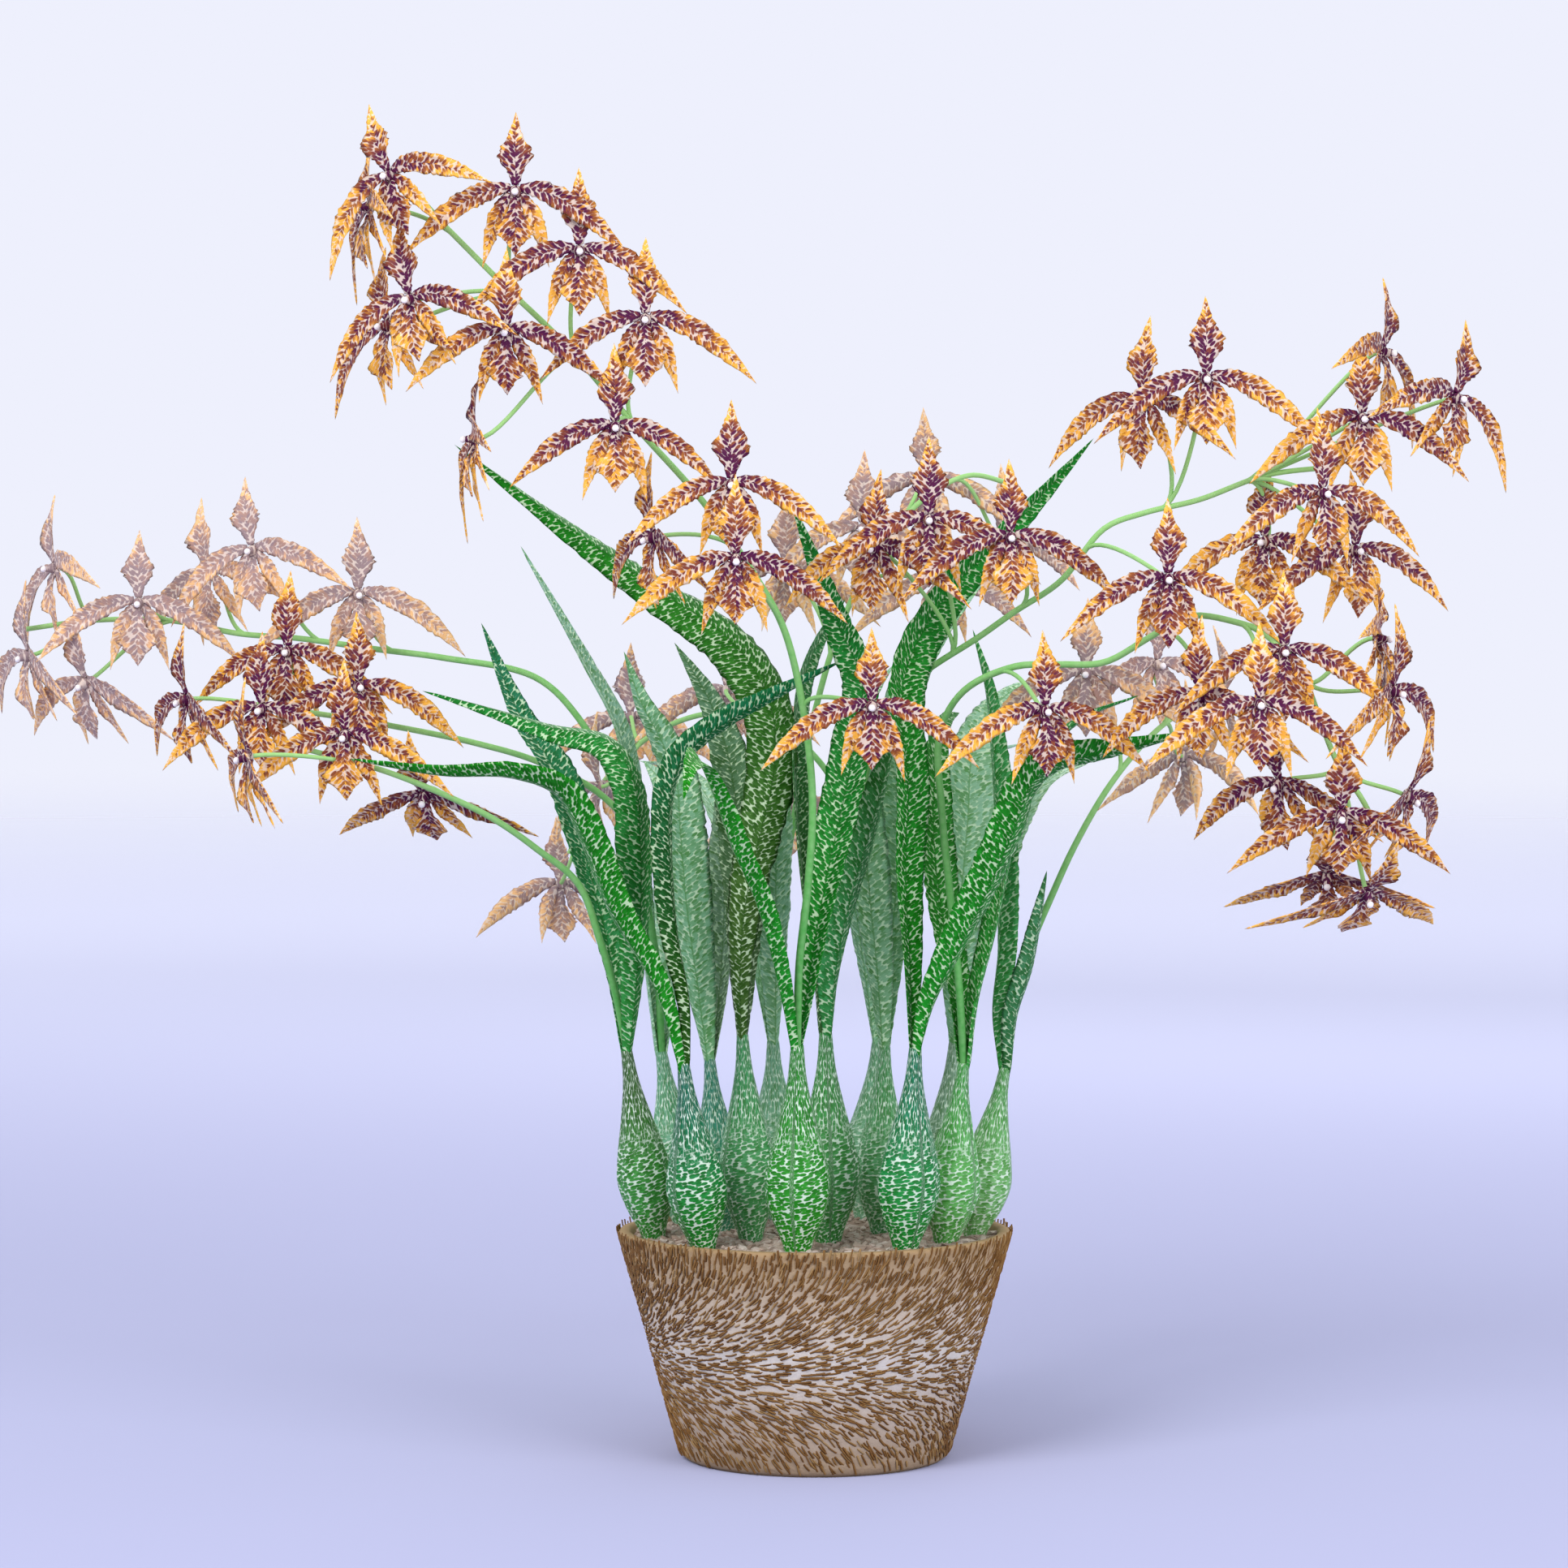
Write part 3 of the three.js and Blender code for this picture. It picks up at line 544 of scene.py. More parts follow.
def plain_mesh(piece):
    """Turns what a piece's modifiers make into its own plain mesh."""
    evaluated = piece.evaluated_get(bpy.context.evaluated_depsgraph_get())
    mesh = bpy.data.meshes.new_from_object(evaluated)
    piece.modifiers.clear()
    old = piece.data
    piece.data = mesh
    bpy.data.meshes.remove(old)
    mesh.name = piece.name
    return piece


cup = placed(pot_cup(), "pot", "pot")
print("pot_cup faces:", len(cup.data.polygons))

# %% [markdown]
# Fibres scattered by Geometry Nodes
# A fibre is a short three-sided rod. One tree scatters points over the wall, turns a rod at each
# point to the way the fibres run at that height, and keeps one random number with it for its colour.
# The tree has named inputs for the sizes, so the same cup could be made coarser or finer. It ends by
# turning the copies into real mesh, and the modifier's result is then kept as a plain mesh.

# %% Building a node tree for a modifier
TURN_SEED = 2
SIZE_SEED = 3
SHADE_SEED = 5
FIBRE_SEED = 4
CHIP_SEED = 8


def new_tree(name, inputs):
    """A Geometry Nodes tree with a geometry input and output and more named inputs."""
    tree = bpy.data.node_groups.new(name, "GeometryNodeTree")
    tree.interface.new_socket("Geometry", in_out="INPUT", socket_type="NodeSocketGeometry")
    for title, kind in inputs.items():
        tree.interface.new_socket(title, in_out="INPUT", socket_type="NodeSocket" + kind)
    tree.interface.new_socket("Geometry", in_out="OUTPUT", socket_type="NodeSocketGeometry")
    return tree, add(tree, "NodeGroupInput").outputs


def shaded(tree, copies):
    """Gives each copy a random number that its material turns into a tone."""
    chance = add(tree, "FunctionNodeRandomValue", {"Seed": SHADE_SEED})
    stored = add(tree, "GeometryNodeStoreNamedAttribute", {
        "Geometry": copies.outputs[0], "Name": "shade", "Value": chance.outputs[1],
    }, domain="INSTANCE")
    return stored.outputs[0]


def end_tree(tree, geometry, material):
    """Turns copies into real mesh and gives it its material, which ends a tree."""
    real = add(tree, "GeometryNodeRealizeInstances", {0: geometry})
    done = add(tree, "GeometryNodeSetMaterial", {"Geometry": real.outputs[0], "Material": material})
    add(tree, "NodeGroupOutput", {0: done.outputs[0]})
    return tree


def grow(piece, tree, **values):
    """Runs a tree on a piece with its named inputs set, and keeps the result as a plain mesh."""
    modifier = piece.modifiers.new(tree.name, "NODES")
    modifier.node_group = tree
    for item in tree.interface.items_tree:
        title = item.name.lower().replace(" ", "_")
        if item.in_out == "INPUT" and title in values:
            modifier[item.identifier] = values[title]
    return plain_mesh(piece)


# %% The fibre tree
FIBRE_DENSITY = 150000
FIBRE_LENGTH = 5.2
FIBRE_WIDTH = 1.15
FIBRE_LEAN_TOP = 8
FIBRE_LEAN_FOOT = 158
FIBRE_STRAY = 14
FIBRE_SMALL = (0.6, 0.7, 0.5)
FIBRE_LARGE = (1.25, 1.2, 0.9)


def fibre_tree():
    """Scatters short rods over a surface, turned by their height on it."""
    tree, given = new_tree("coir_fibres", {
        "Density": "Float", "Length": "Float", "Width": "Float", "Height": "Float", "Seed": "Int",
        "Material": "Material",
    })
    points = add(tree, "GeometryNodeDistributePointsOnFaces", {
        "Mesh": given["Geometry"], "Density": given["Density"], "Seed": given["Seed"],
    })
    normal = points.outputs["Normal"]
    axes = add(tree, "ShaderNodeSeparateXYZ", {0: add(tree, "GeometryNodeInputPosition").outputs[0]})
    lean = add(tree, "ShaderNodeMapRange", {
        "Value": axes.outputs["Z"], "From Max": given["Height"],
        "To Min": math.radians(FIBRE_LEAN_FOOT), "To Max": math.radians(FIBRE_LEAN_TOP),
    })
    stray = add(tree, "FunctionNodeRandomValue", {
        2: -math.radians(FIBRE_STRAY), 3: math.radians(FIBRE_STRAY), "Seed": given["Seed"],
    })
    angle = number(tree, "ADD", lean.outputs[0], stray.outputs[1])
    level = vector(tree, "NORMALIZE", vector(tree, "CROSS_PRODUCT", (0, 0, 1), normal))
    upward = vector(tree, "CROSS_PRODUCT", normal, level)
    steep = add(tree, "ShaderNodeCombineXYZ", {axis: number(tree, "COSINE", angle) for axis in "XYZ"})
    flat = add(tree, "ShaderNodeCombineXYZ", {axis: number(tree, "SINE", angle) for axis in "XYZ"})
    rise = vector(tree, "MULTIPLY", upward, steep.outputs[0])
    run = vector(tree, "MULTIPLY", level, flat.outputs[0])
    stand = add(tree, "FunctionNodeAlignRotationToVector", {"Vector": normal}, axis="Z")
    turn = add(tree, "FunctionNodeAlignRotationToVector", {
        "Rotation": stand.outputs[0], "Vector": vector(tree, "ADD", rise, run),
    }, axis="X", pivot_axis="Z")
    half = number(tree, "MULTIPLY", given["Length"], 0.5)
    start = add(tree, "ShaderNodeCombineXYZ", {"X": number(tree, "MULTIPLY", half, -1)})
    end = add(tree, "ShaderNodeCombineXYZ", {"X": half})
    bow = add(tree, "ShaderNodeCombineXYZ", {"Z": given["Width"]})
    spine = add(tree, "GeometryNodeCurveQuadraticBezier", {
        "Resolution": 2, "Start": start.outputs[0], "Middle": bow.outputs[0], "End": end.outputs[0],
    })
    radius = number(tree, "MULTIPLY", given["Width"], 0.5)
    section = add(tree, "GeometryNodeCurvePrimitiveCircle", {"Resolution": 3, "Radius": radius})
    rod = add(tree, "GeometryNodeCurveToMesh", {
        "Curve": spine.outputs[0], "Profile Curve": section.outputs[0], "Fill Caps": True,
    })
    size = add(tree, "FunctionNodeRandomValue", {0: FIBRE_SMALL, 1: FIBRE_LARGE, "Seed": SIZE_SEED},
               data_type="FLOAT_VECTOR")
    copies = add(tree, "GeometryNodeInstanceOnPoints", {
        "Points": points.outputs["Points"], "Instance": rod.outputs[0],
        "Rotation": turn.outputs[0], "Scale": size.outputs[0],
    })
    return end_tree(tree, shaded(tree, copies), given["Material"])


def wall_skin():
    """The outside of the wall alone, which the fibres lie on."""
    profile = [(wall_radius(height), height) for height in np.linspace(SKIN_START, POT_HEIGHT - 0.5, 30)]
    angles = np.linspace(0, 2 * math.pi, POT_SIDES, endpoint=False)
    points = [(math.cos(angle) * radius, math.sin(angle) * radius, height)
              for radius, height in profile for angle in angles]
    sides = tube_faces(len(profile), POT_SIDES)[:-2]
    return make_piece("pot_fibres", points, sides)


fibres = grow(wall_skin(), fibre_tree(), density=FIBRE_DENSITY, length=FIBRE_LENGTH * MM,
              width=FIBRE_WIDTH * MM, height=POT_HEIGHT * MM, seed=FIBRE_SEED,
              material=husk_fibre())
placed(fibres, "pot", "pot")
print("pot_fibres faces:", len(fibres.data.polygons))

# %% [markdown]
# The potting mix
# Orchids grow in bark chips, greyish brown when dry, that fill the pot to just under its rim. The bed
# is one uneven disc, and a second tree throws chips on it: small squashed lumps, each with a turn,
# size and tone of its own. Modelling each chip by hand would give no more than this does from a step away.

# %% Bark
MIX_BELOW_RIM = 3
BED_RINGS = 26
BED_SIDES = 96
BARK_RELIEF = 0.8
BED_RAISED = 0.3
BED_CLEAR_TOP = 0.4
BED_CLEAR_FOOT = 0.6
BED_LIFT = 1.4
BED_LUMPS = 0.09
CHIP_DENSITY = 62000
CHIP_SIZE = 6.4
CHIP_TILT = 0.5
FACES_UP = 0.7
CHIP_SMALL = (0.3, 0.16, 0.1)
CHIP_LARGE = (0.8, 0.42, 0.22)


def dry_bark():
    """Composted bark: dull, porous and greyish pink-brown, with chips from pale to dark."""
    tree, paint = start_material("dry_bark_chips", 0.95, 0.2)
    grain = speckle(tree, 300, 4, 0.65)
    colour = ramp(tree, attribute(tree, "shade")["Fac"], (0.0, "#a08a7a"), (0.35, "#b8a596"),
                  (0.75, "#c9b9ac"), (1.0, "#d8cbc0"))
    darker = blend(tree, grain, colour, linear("#7d6758"))
    return paint(blend(tree, 0.4, colour, darker), grain, BARK_RELIEF)


def bark_bed(material):
    """The bed of mix: its side fits the pot's inside, and its top is uneven."""
    top = POT_HEIGHT - MIX_BELOW_RIM
    base = POT_FLOOR + BED_RAISED
    wide = wall_radius(top) - POT_WALL - BED_CLEAR_TOP
    foot = wall_radius(base) - POT_WALL - BED_CLEAR_FOOT
    rings = [(foot, base)] + [(wide * (1 - step / BED_RINGS), top) for step in range(BED_RINGS)]
    angles = np.linspace(0, 2 * math.pi, BED_SIDES, endpoint=False)
    points = []
    for radius, height in rings:
        for angle in angles:
            spot = Vector((math.cos(angle) * radius, math.sin(angle) * radius, height))
            lift = BED_LIFT * noise.noise(spot * BED_LUMPS) if height == top else 0
            points.append((spot.x, spot.y, height + lift))
    return make_piece("bark_bed", points, tube_faces(len(rings), BED_SIDES), [material])


def chip_tree():
    """Throws squashed lumps on the faces that look up."""
    tree, given = new_tree("bark_chips", {
        "Density": "Float", "Size": "Float", "Seed": "Int", "Material": "Material",
    })
    facing = add(tree, "ShaderNodeSeparateXYZ", {0: add(tree, "GeometryNodeInputNormal").outputs[0]})
    looks_up = add(tree, "FunctionNodeCompare", {0: facing.outputs["Z"], 1: FACES_UP}, operation="GREATER_THAN")
    points = add(tree, "GeometryNodeDistributePointsOnFaces", {
        "Mesh": given["Geometry"], "Selection": looks_up.outputs[0], "Density": given["Density"],
        "Seed": given["Seed"],
    })
    lump = add(tree, "GeometryNodeMeshIcoSphere", {"Radius": given["Size"], "Subdivisions": 1})
    tilt = add(tree, "FunctionNodeRandomValue", {
        0: (-CHIP_TILT, -CHIP_TILT, 0), 1: (CHIP_TILT, CHIP_TILT, 6.28), "Seed": TURN_SEED,
    },
               data_type="FLOAT_VECTOR")
    size = add(tree, "FunctionNodeRandomValue", {0: CHIP_SMALL, 1: CHIP_LARGE, "Seed": SIZE_SEED},
               data_type="FLOAT_VECTOR")
    copies = add(tree, "GeometryNodeInstanceOnPoints", {
        "Points": points.outputs["Points"], "Instance": lump.outputs[0],
        "Rotation": tilt.outputs[0], "Scale": size.outputs[0],
    })
    return end_tree(tree, shaded(tree, copies), given["Material"])


BARK = dry_bark()
bed = placed(bark_bed(BARK), "potting_mix", "potting_mix")
chips = grow(bark_bed(BARK), chip_tree(), density=CHIP_DENSITY, size=CHIP_SIZE * MM, seed=CHIP_SEED,
             material=BARK)
chips.name = "bark_chips"
placed(chips, "potting_mix", "potting_mix")
print("bark chips:", len(chips.data.polygons) // 20)

# %% [markdown]
# The pseudobulbs
# A pseudobulb is a swollen stem that stores water: a flask with a belly near the mix and a thin neck
# that carries the leaves. Each one leans a little outwards. A lathe would give the form, but a real
# one has shallow furrows that follow it from foot to neck, so its rings are made in code, with the
# furrows as a small wave round each ring. Its strokes run round the belly and along the neck.

# %% Bulb skin
BELLY_SLANT = 80


def bulb_skin():
    """Waxy plant skin: half gloss, green, with pale flecks between short darker strokes."""
    tree, paint = start_material("waxy_bulb_skin", 0.42, 0.2)
    tint = attribute(tree, "tint")["Color"]
    lay = attribute(tree, "lay")["Vector"]
    step = add(tree, "ShaderNodeSeparateXYZ", {0: lay}).outputs["Z"]
    round_mask, round_chance = strokes(tree, spun(tree, lay, BELLY_SLANT), GREEN_STROKE, BULB_EDGES)
    long_mask, long_chance = strokes(tree, lay, GREEN_STROKE, BULB_EDGES)
    neck = eased(tree, step, 0.5, 0.66)
    mask = blend(tree, neck, round_mask, long_mask)
    chance = blend(tree, neck, round_chance, long_chance)
    skin, _ = flecked(tree, tint, mask, chance, "#a8c894", "#e8f6e4", BULB_GAP)
    return paint(skin, mask, SKIN_RELIEF)


# %% The bulbs' places and tones
BULB_SUNK = 8
BULB_FLAT = 0.86
BULB_PROFILE = [(0, 4.2), (0.12, 6.8), (0.25, 12), (0.38, 14.6), (0.52, 12.2), (0.68, 8), (0.85, 4.3),
                (1, 2.9)]
BULB_SIDES = 44
BULB_RINGS = 46
FURROWS = 9
FURROW_DEPTH = 0.03
BELLY_REACH = 13
BULB_SHIFT = (57, 31)
NECK_START = 0.3
NECK_SPAN = 0.5

# Foot [right, back], top [right, up, back], then the colours of the belly and the neck
# The colours get paler towards the back of the plant: painted light, as on the back leaves.
BULBS = [
    ((-50, -48), (-60, 180, -58), "#1f8a2c", "#1a6f58"),
    ((-8, -64), (-8, 188, -72), "#2c9422", "#2a8a2a"),
    ((40, -57), (46, 187, -66), "#229038", "#1c7a58"),
    ((59, -29), (68, 180, -34), "#68b65c", "#50a850"),
    ((73, 2), (87, 178, 0), "#84c278", "#66ae62"),
    ((-73, -13), (-86, 186, -20), "#449c42", "#3c6a2c"),
    ((6, -27), (5, 194, -30), "#4fa055", "#3f8f48"),
    ((-29, -20), (-33, 193, -20), "#58a866", "#3f9458"),
    ((-42, 12), (-48, 182, 14), "#5aa98a", "#3a8c78"),
    ((-60, 44), (-70, 185, 52), "#7cb894", "#6aac86"),
    ((31, 10), (32, 188, 12), "#6cb078", "#5aa468"),
    ((59, 38), (64, 190, 48), "#8fb096", "#86a890"),
    ((-17, 58), (-19, 190, 70), "#92c4a4", "#7cb494"),
    ((25, 56), (29, 190, 66), "#8cbc9c", "#78b08c"),
]


def bulb_line(foot, top):
    """Where a bulb's middle line starts in the mix, the way it leans and its length."""
    up = seen(*top)
    down = np.array([foot[0], foot[1], POT_HEIGHT - MIX_BELOW_RIM])
    lean = unit(up - down)
    start = down - lean * BULB_SUNK
    return start, lean, np.linalg.norm(up - start)


def make_bulb(count, foot, top, belly, neck, material):
    """One furrowed, slightly flattened flask."""
    start, lean, length = bulb_line(foot, top)
    turn = Vector((0, 0, 1)).rotation_difference(Vector(lean))
    outward = math.atan2(foot[1], foot[0])
    shift = [count * along for along in BULB_SHIFT]
    steps = np.linspace(0, 1, BULB_RINGS)
    profile = smooth_path([(step * length, radius, 0) for step, radius in BULB_PROFILE])
    radii = np.interp(steps * length, profile[:, 0], profile[:, 1])
    angles = np.linspace(0, 2 * math.pi, BULB_SIDES, endpoint=False)
    points, lay, tint = [], [], []
    low, high = np.array(linear(belly)), np.array(linear(neck))
    for step, radius in zip(steps, radii):
        for angle in angles:
            furrow = math.cos(FURROWS * angle + count) * math.sin(math.pi * step)
            reach = radius * (1 + FURROW_DEPTH * furrow)
            corner = Vector((math.cos(angle) * reach * BULB_FLAT, math.sin(angle) * reach, 0))
            across = Vector((corner.x * math.cos(outward) - corner.y * math.sin(outward),
                             corner.x * math.sin(outward) + corner.y * math.cos(outward), step * length))
            points.append(np.array(turn @ across) + start)
            lay.append((angle * BELLY_REACH + shift[0], step * length + shift[1], step))
            tint.append(toned(low, high, (step - NECK_START) / NECK_SPAN))
    name = f"pseudobulb_{count:02d}"
    faces = tube_faces(BULB_RINGS, BULB_SIDES)
    return make_piece(name + "_skin", points, faces, [material], lay=lay, tint=tint), name


WAXY = bulb_skin()
for index, bulb_row in enumerate(BULBS):
    piece, node = make_bulb(index + 1, *bulb_row, WAXY)
    placed(piece, "pseudobulb", node)
print("bulbs:", len(BULBS), "of", len(piece.data.polygons), "faces")

# %% [markdown]
# The leaves
# Each bulb carries two strap leaves, folded along the midrib so that they hold themselves up, and
# narrow where they leave the neck. A flat strip with a picture would look right from one side only,
# so each leaf is a closed blade of its real thickness that follows its midrib, with a groove over the
# midrib and edges that thin out. The front ones are a strong green, two have dark olive on them, and
# the ones at the back are painted paler: painted light, which makes up for the shade at the back.

# %% Leaf skin
CHEVRON = 58


def leaf_skin():
    """A leathery leaf: satin, with strokes that slant from the midrib and fine lengthwise veins."""
    tree, paint = start_material("leathery_leaf_blade", 0.5, 0.08)
    tint = attribute(tree, "tint")["Color"]
    way, aside, _ = slanted(tree, CHEVRON)
    mask, chance = strokes(tree, way, GREEN_STROKE, LEAF_EDGES)
    blade, darker = flecked(tree, tint, mask, chance, "#a4c48c", "#e0f6cc", LEAF_GAP)
    rib = eased(tree, aside, 0.2, 0.6, 0.35)
    return paint(blend(tree, rib, darker, blade), mask, BLADE_RELIEF)


# %% The leaves' paths and tones
NECK_OFFSET = 2.7
NECK_GAP = 0.9
LEAF_ROOT = 7
LEAF_THICK = 1.7
THIN_EDGE = 0.35
LEAF_BASE_WIDTH = 4.4
LEAF_WIDEST = 0.5
LEAF_TAPER = 1.7
LEAF_THINNING = 0.35
FOLD_BASE = 34
FOLD_BLADE = 16
FOLD_EASE = 4
LEAF_RINGS = 110
LEAF_ACROSS = 12
LEAF_FRAY = 0.06
LEAF_SHIFT = 211
ROOT_INWARD = 0.6
FOLD_ROUND = 1.2
UPPER_PACE = 1.6
UPPER_START = 0.3
FIRST_BACK_BULB = 9
# Painted light: the leaves of the back bulbs are mixed this far towards a pale green, to make up for the shade
# at the back of the plant.
BACK_PAINTED_LIGHT_SHARE = 0.4
PAINTED_LIGHT_GREEN = "#c4e8c8"

# The bulb, the way it leaves the neck (0 right, 90 back), width, twist, the colours of its lower and
# upper half, and the places that its midrib passes as seen from the front
# The leaves of the back bulbs are listed in paler colours too: painted light.
LEAVES = [
    (1, 215, 25, 0, "#1c8a1c", "#178414", [
        (-72, 214, -62), (-92, 250, -66), (-105, 284, -72), (-116, 303, -76), (-137, 311, -80),
        (-170, 312, -86), (-212, 319, -92)]),
    (1, -28, 20, 0, "#24540c", "#1d7c50", [
        (-58, 208, -58), (-64, 240, -58), (-67, 276, -56), (-66, 305, -52), (-60, 320, -48),
        (-42, 335, -42), (-20, 347, -36), (13, 364, -28)]),
    (2, 205, 22, 0, "#1e8c26", "#1a9410", [
        (-15, 212, -78), (-25, 251, -86), (-36, 277, -94), (-45, 302, -104), (-52, 317, -118),
        (-57, 316, -140), (-60, 300, -160)]),
    (2, 60, 22, 0, "#1c8624", "#1a7c30", [
        (-3, 212, -66), (2, 245, -62), (8, 275, -58), (14, 302, -54), (20, 335, -48), (22, 354, -44),
        (12, 378, -38), (3, 402, -32), (-11, 437, -26)]),
    (3, 135, 24, 0, "#1a8418", "#1b8a2c", [
        (43, 222, -60), (41, 268, -58), (42, 310, -54), (39, 338, -48), (42, 362, -40), (60, 394, -28),
        (88, 423, -16), (127, 465, 0)]),
    (3, -45, 26, 0, "#1c8a22", "#1a841c", [
        (53, 207, -71), (64, 230, -76), (78, 258, -80), (90, 286, -84), (98, 307, -86), (110, 317, -86),
        (134, 322, -84), (172, 331, -78)]),
    (4, 130, 22, 0, "#2d8c2a", "#328c30", [
        (64, 213, -28), (58, 245, -22), (54, 280, -18), (54, 306, -12), (55, 324, 0), (59, 336, 16),
        (66, 340, 36)]),
    (4, 15, 24, 0, "#38983c", "#2f9440", [
        (74, 208, -34), (82, 240, -34), (88, 270, -32), (94, 298, -28), (106, 322, -22), (124, 338, -16),
        (148, 348, -8)]),
    (5, 205, 22, 0, "#47a052", "#4aa45c", [
        (82, 203, -3), (85, 230, -8), (85, 264, -8), (84, 296, -2), (82, 324, 2), (79, 350, 8),
        (72, 378, 16)]),
    (5, -40, 14, 0, "#3f8050", "#4c9060", [
        (91, 202, -6), (97, 222, -9), (102, 246, -12), (106, 268, -14)]),
    (6, 130, 22, 0, "#3a9650", "#2c7c58", [
        (-92, 220, -10), (-100, 255, -4), (-109, 287, 2), (-119, 314, 8), (-135, 339, 16),
        (-152, 381, 26)]),
    (6, -60, 24, 40, "#3a9a48", "#1c7e2e", [
        (-82, 214, -30), (-80, 245, -37), (-80, 280, -40), (-83, 308, -40), (-94, 326, -38),
        (-121, 333, -38), (-150, 342, -42), (-179, 350, -46)]),
    (7, -40, 24, 0, "#3c9450", "#4c9c50", [
        (9, 222, -34), (16, 256, -37), (24, 284, -37), (30, 306, -35), (34, 322, -31), (37, 342, -27)]),
    (7, 160, 22, 0, "#3f6a34", "#3a8c48", [
        (0, 222, -24), (-5, 258, -18), (-8, 292, -12), (-9, 325, -4), (-7, 350, 10), (1, 372, 30),
        (14, 392, 52)]),
    (8, -100, 27, 60, "#46682c", "#1b8418", [
        (-34, 222, -26), (-32, 250, -28), (-26, 280, -26), (-19, 312, -20), (-20, 342, -14),
        (-36, 370, -8), (-72, 396, -6), (-112, 424, -8), (-164, 462, -12)]),
    (8, 100, 22, 0, "#5c7a50", "#6a9470", [
        (-33, 222, -10), (-33, 255, 1), (-35, 290, 13), (-40, 322, 28), (-48, 345, 44), (-64, 372, 64)]),
    (9, -110, 24, 0, "#46a258", "#2f8c58", [
        (-53, 214, 8), (-58, 250, 3), (-61, 285, -1), (-63, 310, -5), (-70, 328, -8), (-79, 345, -11),
        (-87, 368, -14)]),
    (9, 50, 20, 0, "#5e6c50", "#6f9078", [
        (-43, 212, 20), (-41, 245, 26), (-40, 280, 34), (-40, 308, 46), (-44, 328, 66)]),
    (10, 160, 22, 0, "#6cb082", "#5a9c86", [
        (-76, 215, 52), (-80, 255, 54), (-84, 295, 56), (-90, 332, 58), (-105, 362, 62),
        (-134, 416, 72)]),
    (10, 50, 22, 0, "#8cc49c", "#9cceae", [
        (-66, 212, 62), (-64, 245, 72), (-64, 278, 84), (-68, 305, 100), (-78, 318, 126)]),
    (11, 80, 24, 0, "#64ac70", "#74b88a", [
        (34, 222, 20), (37, 256, 24), (40, 292, 28), (39, 325, 32), (42, 350, 36), (56, 376, 40),
        (80, 404, 46)]),
    (11, -110, 20, 0, "#56a25e", "#5ca870", [
        (29, 220, 4), (26, 250, 0), (23, 282, -2), (20, 312, 0), (18, 340, 6), (22, 372, 16)]),
    (12, -100, 26, 0, "#7cbc90", "#8cc8a0", [
        (64, 222, 42), (67, 258, 40), (70, 292, 42), (72, 322, 50), (80, 340, 64), (94, 352, 84),
        (112, 356, 110)]),
    (12, 50, 22, 0, "#92c8a4", "#a4d2b6", [
        (72, 218, 58), (80, 250, 70), (90, 282, 84), (104, 306, 102), (126, 318, 128)]),
    (13, 140, 22, 0, "#92c8a4", "#a0d0b2", [
        (-26, 222, 80), (-34, 258, 92), (-44, 290, 108), (-58, 312, 130), (-80, 318, 158)]),
    (13, -70, 20, 0, "#7cb88c", "#86c09c", [
        (-18, 222, 60), (-18, 256, 52), (-18, 290, 48), (-20, 322, 48), (-26, 350, 56), (-38, 380, 68)]),
    (14, 20, 22, 0, "#90c6a2", "#a2d0b4", [
        (38, 222, 72), (46, 256, 82), (56, 290, 98), (70, 316, 118), (94, 326, 144)]),
    (14, -130, 22, 0, "#78b88c", "#84c09a", [
        (23, 224, 60), (18, 258, 58), (15, 292, 62), (17, 322, 70), (24, 346, 86), (36, 362, 110)]),
]

# %% Making a leaf


def blade_section(across):
    """Places round a thin blade as (side from 1 to -1, face up 1 or down 0), anticlockwise."""
    sides = np.linspace(1, -1, across + 1)
    top = [(side, 1.0) for side in sides]
    bottom = [(side, 0.0) for side in sides[-2:0:-1]]
    return np.array(top + bottom)


def leaf_width(step, width):
    """Narrow at the foot, broad in the middle and pointed at the tip."""
    swell = math.sin(min(step / LEAF_WIDEST, 1) * math.pi / 2)
    fall = 1 - (max(step - LEAF_WIDEST, 0) / (1 - LEAF_WIDEST)) ** LEAF_TAPER
    return (LEAF_BASE_WIDTH + (width - LEAF_BASE_WIDTH) * swell) * fall


